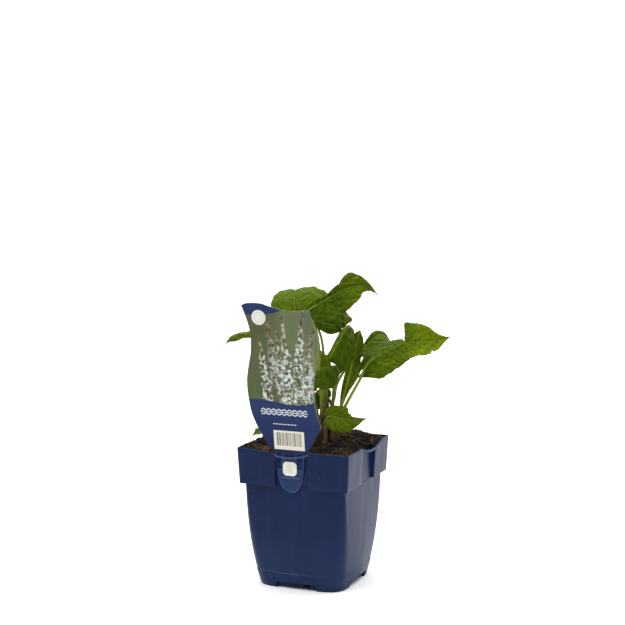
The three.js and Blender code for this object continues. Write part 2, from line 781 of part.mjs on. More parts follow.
    rib: [[-18, -9, 196], [-30, -11, 199], [-43, -14, 198], [-54, -17, 194], [-63, -20, 190]],
    up: [0, -0.3, 1],
    half: 11,
    lobe: 3,
  },
  {
    name: "leaf_back_low",
    stem: [[-1.5, 12, 124], [-4, 14, 142], [-10, 19, 153]],
    rib: [[-17, 24, 158], [-34, 30, 166], [-52, 36, 169], [-70, 41, 163]],
    up: [0, -0.1, 1],
    half: 17,
    lobe: 4,
    both: { fold: 14, curl: -25 },
  },
  {
    name: "leaf_back_left",
    stem: [[2.5, 16, 124], [1, 21, 145], [-3, 29, 166], [-11, 35, 184]],
    rib: [[-17, 38, 196], [-30, 46, 209], [-46, 55, 214], [-62, 62, 208]],
    up: [0.1, -0.2, 1],
    half: 19,
    lobe: 5,
    both: { fold: 16, curl: -28 },
  },
];

// Crown: the old stalks of last year, sunk in the middle of the plant

const OLD_STALKS = [
  { path: [[8, 2, 124], [7, 1, 143], [4, 0, 158]], foot: 1.7, top: 1 },
  { path: [[8.5, 3.5, 124], [9, 4.2, 136], [12.5, 9, 154], [19, 8, 179]], foot: 1.5, top: 0.7 },
  { path: [[7.5, 3.5, 124], [8, 4.5, 137], [7, 6, 150]], foot: 1.6, top: 1.1 },
];

function crown() {
  const heart = new THREE.SphereGeometry(HEART_RADIUS, 8, 6).rotateX(Math.PI / 2).scale(1, 1, 2);
  heart.translate(CROWN[0], CROWN[1], HEART_Z);
  return OLD_STALKS.reduce(
    (all, stalk) => all.add(rod(curveThrough(stalk.path), stalk.foot, stalk.top, 6, 6)),
    solidOf(heart),
  );
}

function soil() {
  const room = potRoom(FLOOR_TOP + CLEARANCE, CLEARANCE, POT_HEIGHT + PAST);
  const filled = room.intersect(belowSurface());
  const depth = 2 * HEART_RADIUS + 2;
  const hole = new THREE.CylinderGeometry(HEART_HOLE_RADIUS, HEART_HOLE_RADIUS, 3 * depth, 12);
  hole.rotateX(Math.PI / 2).translate(CROWN[0], CROWN[1], HEART_Z + depth / 2);
  return LEAVES.reduce((body, leaf) => body.subtract(stalkHole(leaf)), filled.subtract(solidOf(hole)));
}

const plant = new THREE.Group();
plant.add(meshOf("pot", pot(), LOOKS.pot));
plant.add(meshOf("label", label(), LOOKS.label));
plant.add(meshOf("soil", soil(), LOOKS.soil));
plant.add(meshOf("old_stalks", crown(), LOOKS.stalk));
for (const leaf of LEAVES) plant.add(meshOf(leaf.name, leafSolid(leaf), LOOKS.leaf));

// The origin is under the middle of everything, on the surface that the pot stands on.
const extent = new THREE.Box3().setFromObject(plant);
const middle = extent.getCenter(new THREE.Vector3());
plant.position.set(-middle.x, -middle.y, -extent.min.z);

export default plant;
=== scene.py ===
"""A young mountain fleece in a square nursery pot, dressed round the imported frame."""

import json
import math

import bmesh
import bpy
import numpy as np
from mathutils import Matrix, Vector


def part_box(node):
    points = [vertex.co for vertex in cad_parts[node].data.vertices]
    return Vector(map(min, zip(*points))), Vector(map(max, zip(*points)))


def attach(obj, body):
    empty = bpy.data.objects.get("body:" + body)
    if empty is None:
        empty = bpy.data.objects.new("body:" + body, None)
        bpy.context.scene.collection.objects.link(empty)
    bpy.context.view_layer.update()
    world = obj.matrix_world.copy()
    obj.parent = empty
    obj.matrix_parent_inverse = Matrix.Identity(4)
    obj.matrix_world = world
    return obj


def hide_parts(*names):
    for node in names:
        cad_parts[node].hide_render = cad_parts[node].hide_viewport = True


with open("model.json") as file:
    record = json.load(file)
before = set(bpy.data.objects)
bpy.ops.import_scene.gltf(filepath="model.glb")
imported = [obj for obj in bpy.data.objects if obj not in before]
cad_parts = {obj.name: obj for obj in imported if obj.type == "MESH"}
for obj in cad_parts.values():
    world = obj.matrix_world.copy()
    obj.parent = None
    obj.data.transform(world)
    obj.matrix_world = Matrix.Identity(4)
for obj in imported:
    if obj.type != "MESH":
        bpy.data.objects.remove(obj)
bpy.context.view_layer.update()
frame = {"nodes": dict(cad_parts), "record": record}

# All lengths below are in millimetres from the middle of the pot's foot
MM = 0.001
POT_LOW, POT_HIGH = (np.array(corner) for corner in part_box("pot"))
AXIS = np.array([(POT_LOW[0] + POT_HIGH[0]) / 2, (POT_LOW[1] + POT_HIGH[1]) / 2, 0.0])

# Pot, as in the part's source
POT_HEIGHT = 132
RIM_HALF = 55.5
RIM_CORNER = 2.4
BAND_HALF = 53.8
BAND_BOTTOM = 98
BODY_TOP_HALF = 49.9
BODY_TOP_CORNER = 3.5
BODY_TOP_BOW = 0.4
BODY_FOOT_HALF = 42.4
BODY_FOOT_CORNER = 18
BODY_FOOT_BOW = 1.8
BODY_SWELL = 2.6
WALL = 1.4
SEAM_Z = 15
SEAM_STEP = 0.35
FLOOR_UNDERSIDE = 6
FLOOR_TOP = 7.4
FOOT_WALL = 1.6
NOTCH_HALF = 20
SKIRT_FACE = 42
SKIRT_BACK = -39.4
DRAIN_RADIUS = 3.2
RECESS_HALF = 16.6
RECESS_FACE = 51
RECESS_TOP = 126
SINK_START = 112
FILLET = 0.45

# Lip bars over the recesses, by side from the front one on where a bar and its rim have sunk
BAR_HEIGHT = 1.75
BAR_DEPTH = 1.3
BAR_CORNER = 0.14
BAR_BULGE = 0.6
BAR_ENDS = (131.9, 131.9)
BAR_SAG = 3.6
SLACK_BARS = {0: ((128.6, 131.4), 2.8), 1: ((131.9, 127.5), 2.2)}
RIM_SLACK = 1.6
EDGE_SLACK = 1.8
SIDE_SLACK = 4.6

# Label, its heights measured from the line where it hangs
LABEL_LEAN = 8
LABEL_THICKNESS = 0.6
LABEL_BEVEL = 0.1
LABEL_DROP = 4.4
TONGUE_LEAN = 1.6
TONGUE_BACK = 0.35
HANG_Y = -53.1
HANG_Z = 132.4

# Soil
SOIL_EDGE = 127.5
SOIL_BACK = 5.8
SOIL_LEFT = 4.0
SOIL_MOUND = 5.5
MOUND_SPREAD = 30
RECESS_SLUMP = 3.5
SLUMP_SPREAD = 14
SOIL_HALF = 53.6
SOIL_RECESS = 18.4
SOIL_FACE = 49.2
SPILL_EDGE = 53.9
CRUST_STEP = 0.8
CRUST_DEPTH = 3
CROWN = (8.0, 3.0)
BRACT_HEART = np.array([4.5, 4.5])

# Leaves
TIP_HALF = 0.4
WIDEST_AT = 0.26
ROOT_LEAD = 0.1
ROOT_ROUND = 0.63
TIP_TAPER = 1.3
LOBE_END = 0.3
VEIN_GAP = 6.6
VEIN_LEAN = 0.62
VEIN_BEND = 0.010
STALK_RADIUS = 1.75
STALK_FOOT = 130
SERE = 26

# Camera, fitted to the photograph
CAMERA_AZIMUTH = 22.4
CAMERA_ELEVATION = 6.5
CAMERA_DISTANCE = 1383
CAMERA_LENS = 85
CAMERA_SENSOR = 36
AIM_RIGHT = -1.8
AIM_HEIGHT = 254.4


# Shader helpers


class Signal:
    """A shader value that can be added, multiplied and compared."""

    def __init__(self, look, socket):
        self.look = look
        self.socket = socket

    def __add__(self, other):
        return self.look.math("ADD", self, other)

    __radd__ = __add__

    def __sub__(self, other):
        return self.look.math("SUBTRACT", self, other)

    def __rsub__(self, other):
        return self.look.math("SUBTRACT", other, self)

    def __mul__(self, other):
        return self.look.math("MULTIPLY", self, other)

    __rmul__ = __mul__

    def abs(self):
        return self.look.math("ABSOLUTE", self)

    def clamped(self):
        return self.look.math("ADD", self, 0.0, clamp=True)

    def step(self, low, high):
        """0 below low and 1 above high, smooth between; low may be the greater one."""
        return self.look.step(self, low, high)

    def near(self, middle, half, soft=0.3):
        """1 within half of the middle, fading over the last soft."""
        return (self - middle).abs().step(half, half - soft)


class Look:
    """A node material, or a world, under construction."""

    def __init__(self, name, kinds=None):
        kinds = bpy.data.materials if kinds is None else kinds
        self.owner = kinds.new(name)
        self.owner.use_nodes = True
        self.tree = self.owner.node_tree
        self.tree.nodes.clear()

    def node(self, kind, inputs=None, **settings):
        made = self.tree.nodes.new(kind)
        for key, value in settings.items():
            setattr(made, key, value)
        for key, value in (inputs or {}).items():
            self.feed(made.inputs[key], value)
        return made

    def feed(self, socket, value):
        if isinstance(value, Signal):
            self.tree.links.new(value.socket, socket)
        elif isinstance(value, tuple) and len(value) == 3 and socket.type == "RGBA":
            socket.default_value = (*value, 1.0)
        else:
            socket.default_value = value

    def out(self, made, name=0):
        return Signal(self, made.outputs[name])

    def math(self, operation, a, b=0.0, clamp=False):
        return self.out(self.node("ShaderNodeMath", {0: a, 1: b}, operation=operation, use_clamp=clamp))

    def most(self, a, b):
        return self.math("MAXIMUM", a, b)

    def hypot(self, a, b):
        return self.math("SQRT", a * a + b * b)

    def step(self, value, low, high):
        made = self.node(
            "ShaderNodeMapRange",
            {"Value": value, "From Min": low, "From Max": high},
            interpolation_type="SMOOTHSTEP",
        )
        return self.out(made)

    def mix(self, share, a, b, blend="MIX"):
        made = self.node("ShaderNodeMix", data_type="RGBA", blend_type=blend)
        for place, value in ((0, share), (6, a), (7, b)):
            self.feed(made.inputs[place], value)
        return self.out(made, 2)

    def coats(self, ground, *layers):
        """The ground colour under layers of (share, colour), one over another."""
        for share, colour in layers:
            ground = self.mix(share, ground, colour)
        return ground

    def ramp(self, value, stops):
        made = self.node("ShaderNodeValToRGB", {0: value})
        elements = made.color_ramp.elements
        while len(elements) < len(stops):
            elements.new(0.5)
        for element, (at, colour) in zip(elements, stops):
            element.position = at
            element.color = (*colour, 1.0)
        return self.out(made)

    def attribute(self, name, output="Vector"):
        return self.out(self.node("ShaderNodeAttribute", attribute_name=name), output)

    def split(self, vector):
        made = self.node("ShaderNodeSeparateXYZ", {0: vector})
        return [self.out(made, i) for i in range(3)]

    def joined(self, x=0.0, y=0.0, z=0.0):
        return self.out(self.node("ShaderNodeCombineXYZ", {0: x, 1: y, 2: z}))

    def stretched(self, vector, scale):
        return self.out(self.node("ShaderNodeVectorMath", {0: vector, 1: scale}, operation="MULTIPLY"))

    def place(self):
        """Where a point is, in millimetres."""
        return self.stretched(self.out(self.node("ShaderNodeTexCoord"), "Object"), (1 / MM,) * 3)

    def noise(self, vector, scale, detail=3.0, roughness=0.55, output=0):
        inputs = {"Vector": vector, "Scale": scale, "Detail": detail, "Roughness": roughness}
        return self.out(self.node("ShaderNodeTexNoise", inputs), output)

    def voronoi(self, vector, scale, feature="F1", output="Distance"):
        inputs = {"Vector": vector, "Scale": scale}
        return self.out(self.node("ShaderNodeTexVoronoi", inputs, feature=feature), output)

    def bump(self, height, strength, distance, normal=None):
        made = self.node("ShaderNodeBump", {"Strength": strength, "Distance": distance, "Height": height})
        if normal is not None:
            self.feed(made.inputs["Normal"], normal)
        return self.out(made)

    def plain(self, colour, roughness, normal=None, **constants):
        made = self.node("ShaderNodeBsdfPrincipled", {"Base Color": colour, "Roughness": roughness})
        if normal is not None:
            self.feed(made.inputs["Normal"], normal)
        for key, value in constants.items():
            made.inputs[key.replace("_", " ")].default_value = value
        return self.out(made)

    def finish(self, shader, output="ShaderNodeOutputMaterial"):
        self.feed(self.node(output).inputs["Surface"], shader)
        return self.owner


# Looks


def pot_look():
    """Blue plastic with faint streaks, dust low down, a painted highlight along the mould step at SEAM_Z
    and on the front bar, painted shade on the wall behind the tongue, and specks of soil.
    """
    look = Look("pot plastic")
    place = look.place()
    x, y, z = look.split(place)
    right, front = x - float(AXIS[0] / MM), y - float(AXIS[1] / MM)
    cloud = look.noise(place, 0.022, 3)
    streak = look.noise(look.stretched(place, (0.16, 0.16, 0.012)), 1.0, 4)
    dust = look.noise(place, 0.35, 6, 0.7)
    settled = z.step(26, 0) * 0.3 + z.step(BAND_BOTTOM - 2, BAND_BOTTOM + 1) * z.step(104, 99) * 0.12
    # painted highlight: a light line along the small step low on the body, where it catches the light
    seam_highlight = z.near(SEAM_Z, 0.5) * x.step(30, -20) * streak.step(0.3, 0.6)
    # painted shade: the recessed wall behind the label's tongue, painted the deep saturated blue that the
    # plastic shows in shade
    shaded_wall_behind_tongue = right.step(8.8, 8.0) * right.step(-15, -13.5) * front.step(-44, -47)
    shaded_wall_behind_tongue = shaded_wall_behind_tongue * z.step(106, 109) * z.step(124, 121)
    # painted highlight on the bar over the front recess
    lip_highlight = right.near(0, RECESS_HALF + 0.6, 0.8) * front.step(-51.8, -52.4) * z.step(122.5, 124.5)
    tone = look.split(look.voronoi(place, 0.11, output="Color"))[0]
    speck = look.voronoi(place, 0.11).step(0.055, 0.035) * tone.step(0.66, 0.70)
    body = look.coats(
        look.mix(cloud.step(0.35, 0.7), (0.0022, 0.010, 0.046), (0.0036, 0.013, 0.056)),
        (streak.step(0.45, 0.8) * 0.3, (0.009, 0.020, 0.068)),
        (z.step(64, 2) * 0.7, (0.010, 0.026, 0.078)),
        ((dust.step(0.5, 0.85) * (settled + 0.06)).clamped(), (0.09, 0.085, 0.09)),
        (seam_highlight * 0.5, (0.075, 0.105, 0.175)),
        (shaded_wall_behind_tongue * 0.8, (0.004, 0.030, 0.130)),
        (lip_highlight * 0.75, (0.052, 0.070, 0.135)),
        (speck * 0.75, (0.16, 0.10, 0.06)),
    )
    grain = look.noise(place, 2.6, 2)
    flow = look.noise(look.stretched(place, (0.06, 0.06, 0.02)), 1.0, 1)
    normal = look.bump(grain * 0.04 + dust * 0.05 + speck * 0.5, 0.35, 0.0004)
    normal = look.bump(flow, 0.25, 0.002, normal)
    roughness = 0.30 + dust * 0.10 + speck * 0.4
    return look.finish(look.plain(body, roughness, normal, Specular_IOR_Level=0.11))


def curve_of(look, value, points):
    """A drawn curve: the points give what comes out for each value."""
    low, high = points[0][0], points[-1][0]
    span = [y for _, y in points]
    floor, ceiling = min(span) - 1, max(span) + 1
    made = look.node("ShaderNodeFloatCurve", {"Value": (value - low) * (1 / (high - low))})
    curve = made.mapping.curves[0]
    while len(curve.points) < len(points):
        curve.points.new(0.5, 0.5)
    for point, (x, y) in zip(curve.points, points):
        point.location = ((x - low) / (high - low), (y - floor) / (ceiling - floor))
    made.mapping.update()
    return look.out(made) * (ceiling - floor) + floor


def flower_spray(look, u, v, ground, lean, foot, top, half, soft, tint, seed):
    """Paints one spray of small white flowers: open ones below, buds above. soft blurs it."""
    rise = (v - foot) * (1 / (top - foot))
    wander = look.noise(look.joined(v * 0.05, seed, 0.0), 1.0, 1) - 0.5
    middle = lean[0] + rise * lean[1] + rise * rise * lean[2] + wander * 4
    off = (u - middle).abs()
    inside = v.step(foot - 2 - soft, foot + 3) * v.step(top + 2 + soft, top - 4)
    opened = rise.step(0.95, 0.45)
    edge = look.noise(look.joined(u * 0.24, v * 0.24, seed), 1.0, 3, 0.6) - 0.5
    reach = 1.1 + opened * half + edge * opened * half * 3.0
    body = (reach - off).step(-0.5 - soft, 0.7 + soft) * inside
    shift = look.split(look.noise(look.joined(u * 0.5, v * 0.5, seed + 1), 1.0, 2, output=1))
    spots = look.joined(u + shift[0] * 2.2, v * 0.9 + shift[1] * 2.2, seed * 3.1)
    petals = look.voronoi(spots, 0.30, "SMOOTH_F1")
    shade = look.split(look.voronoi(spots, 0.30, output="Color"))[1]
    gap = look.noise(look.joined(u * 0.3, v * 0.3, seed + 5), 1.0, 3)
    bloom = petals.step(0.66 + soft * 0.2, 0.36) * gap.step(0.42, 0.54)
    stem = off.step(1.2 + soft, 0.4) * inside
    brown = look.mix(shade, (0.055, 0.035, 0.020), (0.130, 0.070, 0.036))
    white = look.mix(shade, tint, (0.60, 0.67, 0.63))
    bud = look.mix(rise.step(0.4, 0.9) * 0.55, white, (0.42, 0.38, 0.20))
    bare = look.noise(look.joined(v * 0.42, seed + 9, u * 0.1), 1.0, 2).step(0.44, 0.56)
    return look.coats(
        ground,
        (stem * (0.9 - soft * 0.14), brown),
        (petals.step(0.75, 0.5) * body * 0.4, (0.070, 0.062, 0.034)),
        (body * bloom * (1.0 - soft * 0.16), bud),
        (off.step(1.1 + soft, 0.35) * inside * bare * (0.85 - soft * 0.2), brown),
    )


# Each spray: its place, slope and bend, its foot and top, its half width, blur, tint and seed
FAINT, PALE, BRIGHT = (0.20, 0.26, 0.22), (0.34, 0.42, 0.37), (0.46, 0.54, 0.50)
SPRAYS = [
    ((-14, 4, -8), 66, 126, 2.6, 2.2, FAINT, 1.7),
    ((17, 6, 4), 60, 122, 3.2, 2.6, FAINT, 9.2),
    ((26, -2, -4), 46, 100, 2.6, 1.2, PALE, 4.4),
    ((-6, -5, 2), 46, 118, 2.6, 0.9, PALE, 5.3),
    ((9, 3, 6), 44, 140, 3.6, 0.25, BRIGHT, 2.1),
    ((18, 2, 3), 46, 104, 3.2, 0.3, BRIGHT, 6.6),
    ((-20, -3, -4), 44, 112, 3.4, 0.2, BRIGHT, 8.3),
    ((-1, 3, -5), 44, 132, 3.8, 0.2, BRIGHT, 3.2),
]
PICTURE_TOP = [
    (-45, 131.5), (-38.8, 131.7), (-21.1, 132.5), (-12, 134), (-4.9, 136.2), (5, 142), (35, 150),
]
PICTURE_FOOT = [
    (-45, 51), (-28.6, 52.4), (-18.9, 51.5), (-8.2, 50), (2.4, 48.9), (13.1, 49.4), (24.4, 52.5), (35, 56),
]


def flower_bed(look, u, v, flat):
    """The picture: sprays of small white flowers on a blurred green ground."""
    blur = look.noise(look.stretched(flat, (0.020, 0.012, 1.0)), 1.0, 1.5, 0.4)
    moss = [
        (0.28, (0.070, 0.078, 0.036)),
        (0.45, (0.090, 0.104, 0.044)),
        (0.58, (0.118, 0.142, 0.070)),
        (0.72, (0.082, 0.126, 0.036)),
    ]
    warm = look.noise(look.stretched(flat, (0.035, 0.02, 1.0)), 1.0, 1)
    picture = look.coats(
        look.ramp(blur, moss),
        (warm.step(0.5, 0.72) * 0.55, (0.150, 0.125, 0.078)),
        (u.step(2, 26) * 0.4, (0.110, 0.150, 0.105)),
        (u.step(-28, -40) * v.step(85, 60) * 0.6, (0.105, 0.125, 0.030)),
        (u.step(0, -30) * 0.42, (0.030, 0.042, 0.016)),
    )
    for spray in SPRAYS:
        picture = flower_spray(look, u, v, picture, *spray)
    return picture


def label_print(look, u, v, flat):
    """The label's face: the picture between two blue fields, a disc, an ornament and a panel."""
    blue = look.coats(
        look.mix(look.noise(flat, 0.02, 2), (0.008, 0.018, 0.074), (0.014, 0.027, 0.088)),
        (v.step(26, 44) * 0.5, (0.022, 0.037, 0.104)),
        (v.step(30, 4) * u.step(18, -20) * 0.7, (0.003, 0.010, 0.046)),
    )
    above_foot = (v - curve_of(look, u, PICTURE_FOOT)).step(-0.15, 0.15)
    above_top = (v - curve_of(look, u, PICTURE_TOP)).step(-0.15, 0.15)
    disc = look.hypot(u + 25.4, v - 129.5)
    # Sprig of slanted leaflets along a line, and a row of dashes below it
    leaflet_u = look.math("PINGPONG", u + 29.0, 2.6) - 1.3
    leaflet_v = (v - 41.2).abs() - 2.0
    leaflet = look.hypot(leaflet_u * 0.8 + leaflet_v * 0.6, (leaflet_v * 0.8 - leaflet_u * 0.6) * 3.606)
    sprig = leaflet.step(1.9, 1.65) * u.near(-5.8, 22.6)
    line = v.near(41.2, 0.42, 0.14) * u.near(-5.8, 23.6)
    dashes = v.near(29.8, 0.45, 0.15) * u.near(-5.8, 11.6) * look.math("PINGPONG", u, 1.5).step(0.3, 0.5)
    ornament = look.most(look.most(sprig, line), dashes)
    # White panel with plain bars
    panel = look.most((u + 2.4).abs() * (1 / 15.1), (v - 14.6).abs() * (1 / 9.1)).step(1.005, 0.99)
    bars = look.noise(look.joined(u * 1.55, 0.0, 4.0), 1.0, 1.0, 0.8).step(0.50, 0.515)
    bars = bars * u.near(-2.4, 12.9, 0.2) * v.near(15.6, 6.4, 0.15)
    return look.coats(
        blue,
        (above_foot, flower_bed(look, u, v, flat)),
        (above_top, blue),
        (disc.step(7.1, 6.8), (0.62, 0.63, 0.58)),
        (disc.step(5.0, 4.7) * disc.step(3.9, 4.2) * 0.35, (0.40, 0.42, 0.40)),
        (ornament * 0.92, (0.66, 0.68, 0.70)),
        (panel, look.mix(bars, (0.62, 0.60, 0.50), (0.035, 0.035, 0.04))),
    )


def tongue_print(look, u, v, flat):
    """The tongue's lighter blue with a pale patch, a painted highlight along its rim and along the
    windows' lower edges, and its slits apart.
    """
    side, up = (u + 2.8).abs(), v + 12.4
    patch = look.most(side * (1 / 6.9), up.abs() * (1 / 6.6))
    patch = look.most(patch, look.hypot(side * 0.1456, up * 0.1517) * 0.86).step(1.01, 0.97)
    vein = side.step(0.4, 0.2) * up.near(0, 4.3, 0.2)
    leaflets = look.math("PINGPONG", up + side * -0.7 + 20.0, 1.3).step(0.75, 0.95)
    leaflets = leaflets * side.step(3.4, 3.1) * up.near(0, 4.0, 0.4)
    slits = look.most(
        v.near(-21.0, 0.32, 0.17) * u.near(-2.5, 9.8, 0.4),
        (u + 3.2).abs().near(6.5, 0.3, 0.18) * v.step(-7.6, -7.0),
    )
    ledge_highlight = v.near(-13.4, 0.5, 0.2) * side.near(9.6, 2.8, 0.4)
    below = look.math("MINIMUM", v + 8.6, 0.0)
    reach = look.hypot((u + 2.7 + below * 0.038) * (1 / 13.75), below * (1 / 26.3))
    tongue = look.coats(
        look.mix(look.noise(flat, 0.05, 2), (0.012, 0.025, 0.082), (0.018, 0.033, 0.096)),
        (v.step(-8, -1) * 0.8, (0.008, 0.020, 0.066)),
        (patch, (0.62, 0.62, 0.54)),
        (look.most(vein, leaflets) * 0.55, (0.30, 0.34, 0.28)),
        (slits * 0.75, (0.12, 0.16, 0.26)),
        # painted highlight along the tongue's rim and the windows' lower edges
        (look.most(reach.step(0.935, 0.975), ledge_highlight) * 0.5, (0.060, 0.090, 0.180)),
    )
    return tongue, slits


def label_look():
    """The printed sheet: face above v 0, tongue below it, plain white plastic behind."""
    look = Look("label print")
    u, v, side = look.split(look.attribute("print_mm"))
    flat = look.joined(u, v, 0.0)
    tongue, slits = tongue_print(look, u, v, flat)
    front = look.mix(v.step(-0.2, 0.2), tongue, label_print(look, u, v, flat))
    plain = look.mix(look.noise(flat, 0.06, 3), (0.46, 0.48, 0.50), (0.56, 0.57, 0.58))
    colour = look.mix((side + v.step(0, -1) * 0.35).step(0.4, 0.6), plain, front)
    wear = look.noise(flat, 0.5, 4, 0.7)
    scratch = look.noise(look.stretched(flat, (0.3, 2.4, 1.0)), 1.0, 3)
    normal = look.bump(wear + scratch * 0.3 + slits * 2.0, 0.12, 0.0003)
    normal = look.bump(look.noise(flat, 0.018, 1), 0.5, 0.003, normal)
    return look.finish(look.plain(colour, 0.34 + wear * 0.12, normal, Specular_IOR_Level=0.10))


def soil_look():
    look = Look("potting soil")
    place = look.place()
    crumbs = look.voronoi(place, 0.55)
    tone = look.split(look.voronoi(place, 0.55, output="Color"))[0]
    fine = look.noise(place, 1.6, 6, 0.75)
    damp = look.noise(place, 0.035, 3)
    colour = look.ramp(
        tone * 0.6 + fine * 0.4,
        [
            (0.15, (0.0022, 0.0017, 0.0014)),
            (0.45, (0.0048, 0.0032, 0.0023)),
            (0.72, (0.013, 0.0075, 0.004)),
            (0.96, (0.060, 0.030, 0.012)),
        ],
    )
    colour = look.mix(damp.step(0.62, 0.38) * 0.45, colour, (0.004, 0.003, 0.002))
    normal = look.bump(fine + crumbs * -1.2, 0.9, 0.0012)
    return look.finish(look.plain(colour, 0.9 - damp * 0.15, normal, Specular_IOR_Level=0.09))


def debris_look(name, roughness=0.85, gloss=0.25):
    """Fibres, crumbs and dry bark, each coloured by its own value."""
    look = Look(name)
    tint = look.attribute("tint", "Color")
    place = look.place()
    fine = look.noise(look.stretched(place, (1.0, 1.0, 0.25)), 2.2, 4, 0.7)
    colour = look.mix(fine.step(0.25, 0.75), look.mix(1.0, tint, (0.35, 0.33, 0.3), "MULTIPLY"), tint)
    normal = look.bump(fine, 0.7, 0.0004)
    return look.finish(look.plain(colour, roughness, normal, Specular_IOR_Level=gloss))


# What differs between the upper and the lower skin of a leaf
UPPER = {
    "dark": (0.021, 0.050, 0.002), "light": (0.108, 0.166, 0.002),
    "vein": (0.115, 0.175, 0.006), "vein_share": 0.38,
    "rib": (0.290, 0.370, 0.040), "rib_share": 0.62, "rib_half": 0.8,
    "crease_shade": 0.55, "lift": -0.5, "pucker": -0.9, "roughness": 0.38, "shine": 0.13,
}
UNDER = {
    "dark": (0.040, 0.078, 0.004), "light": (0.104, 0.166, 0.004),
    "vein": (0.150, 0.215, 0.008), "vein_share": 0.55,
    "rib": (0.250, 0.320, 0.022), "rib_share": 0.9, "rib_half": 1.25,
    "crease_shade": 0.15, "lift": 0.9, "pucker": 0.5, "roughness": 0.50, "shine": 0.06,
}


def leaf_look(name, skin):
    """Leaf skin, drawn with the way along the midrib and out from it, in millimetres."""
    look = Look(name)
    along, out, share = look.split(look.attribute("blade_mm"))
    tone, margin, age = look.split(look.attribute("blade_tone"))
    place = look.place()
    off = out.abs()
    drift = look.noise(place, 0.09, 2) - 0.5
    course = along - off * VEIN_LEAN - off * off * VEIN_BEND + drift * 2.2
    cell = look.math("PINGPONG", course + 400, VEIN_GAP / 2)
    side_vein = cell.step(0.55, 0.12) * off.step(0.5, 1.5) * margin.step(0.6, 3.5)
    net = look.voronoi(look.joined(course * 0.42, off * 0.30, tone), 1.0, "DISTANCE_TO_EDGE")
    fine_net = net.step(0.10, 0.02) * margin.step(0.3, 1.2)
    rib = off.step(skin["rib_half"] - share * 0.55, 0.3 - share * 0.2)
    # painted shade: the skin is painted darker in the fold along the midrib
    crease_shade = off.step(3.4 - share * 1.6, 0.7)
    blotch = look.noise(place, 0.055, 3, 0.6)
    patches = look.noise(place, 0.14, 4, 0.65)
    mood = (tone * 0.8 + blotch * 0.7 - 0.25).clamped()
    dry = (margin.step(1.3, 0.2) * patches.step(0.45, 0.7) * 0.5 + age).clamped()
    colour = look.coats(
        look.mix(mood, skin["dark"], skin["light"]),
        (patches.step(0.50, 0.74) * 0.5, skin["light"]),
        (patches.step(0.46, 0.26) * 0.5, skin["dark"]),
        (cell.step(1.2, 2.9) * 0.25, skin["dark"]),
        (fine_net * 0.2, skin["vein"]),
        (side_vein * skin["vein_share"], skin["vein"]),
        (crease_shade * skin["crease_shade"], skin["dark"]),
        # painted light: skin whose tone passes 1.1 is painted a bright yellow-green, as where light falls
        # on and through it
        (tone.step(1.1, 2.0) * 0.8, (0.225, 0.300, 0.006)),
        (rib * skin["rib_share"], skin["rib"]),
        (margin.step(0.9, 0.15) * 0.45, (0.190, 0.215, 0.010)),
        (dry, look.mix(patches, (0.060, 0.030, 0.012), (0.150, 0.080, 0.025))),
    )
    fine = look.noise(place, 1.4, 4, 0.6)
    pucker = look.voronoi(look.joined(course * 0.30, off * 0.17, tone * 9), 1.0, "SMOOTH_F1")
    wrinkle = look.noise(look.joined(course * 0.24, off * 0.12, tone * 7), 1.0, 3, 0.6)
    height = net.step(0.0, 0.35) * 0.45 + fine * 0.25 + (side_vein + rib * 0.6) * skin["lift"]
    normal = look.bump(pucker * skin["pucker"] + wrinkle, 0.95, 0.0027)
    normal = look.bump(height, 0.65, 0.0005, normal)
    surface = look.plain(
        colour,
        skin["roughness"] + fine * 0.14,
        normal,
        Specular_IOR_Level=skin["shine"],
        Specular_Tint=(0.75, 1.0, 0.30, 1.0),
    )
    glow = look.mix(0.7, colour, (0.24, 0.33, 0.002))
    through = look.out(look.node("ShaderNodeBsdfTranslucent", {"Color": glow, "Normal": normal}))
    return look.finish(look.out(look.node("ShaderNodeMixShader", {0: 0.30, 1: surface, 2: through})))


def stalk_look():
    """Ribbed green, brown near the soil."""
    look = Look("leaf stalk")
    along, turn, _ = look.split(look.attribute("blade_mm"))
    tone, height, _ = look.split(look.attribute("blade_tone"))
    place = look.place()
    ribs = look.noise(look.joined(along * 0.04, turn * 1.6, tone), 1.0, 3)
    patch = look.noise(place, 0.12, 4)
    brown = (height.step(SERE, SERE - 12) * 0.9 + patch.step(0.6, 0.85) * 0.12).clamped()
    colour = look.coats(
        look.mix(patch, (0.090, 0.140, 0.006), (0.190, 0.250, 0.012)),
        (ribs.step(0.35, 0.7) * 0.5, (0.260, 0.310, 0.030)),
        (brown, look.mix(ribs, (0.070, 0.036, 0.014), (0.200, 0.122, 0.055))),
    )
    normal = look.bump(ribs + look.noise(place, 1.2, 3) * 0.3, 0.5, 0.0004)
    return look.finish(look.plain(colour, 0.42 + ribs * 0.15, normal, Specular_IOR_Level=0.14))


# Meshes


def linked(name, data):
    """A new object of the scene."""
    made = bpy.data.objects.new(name, data)
    bpy.context.scene.collection.objects.link(made)
    return made


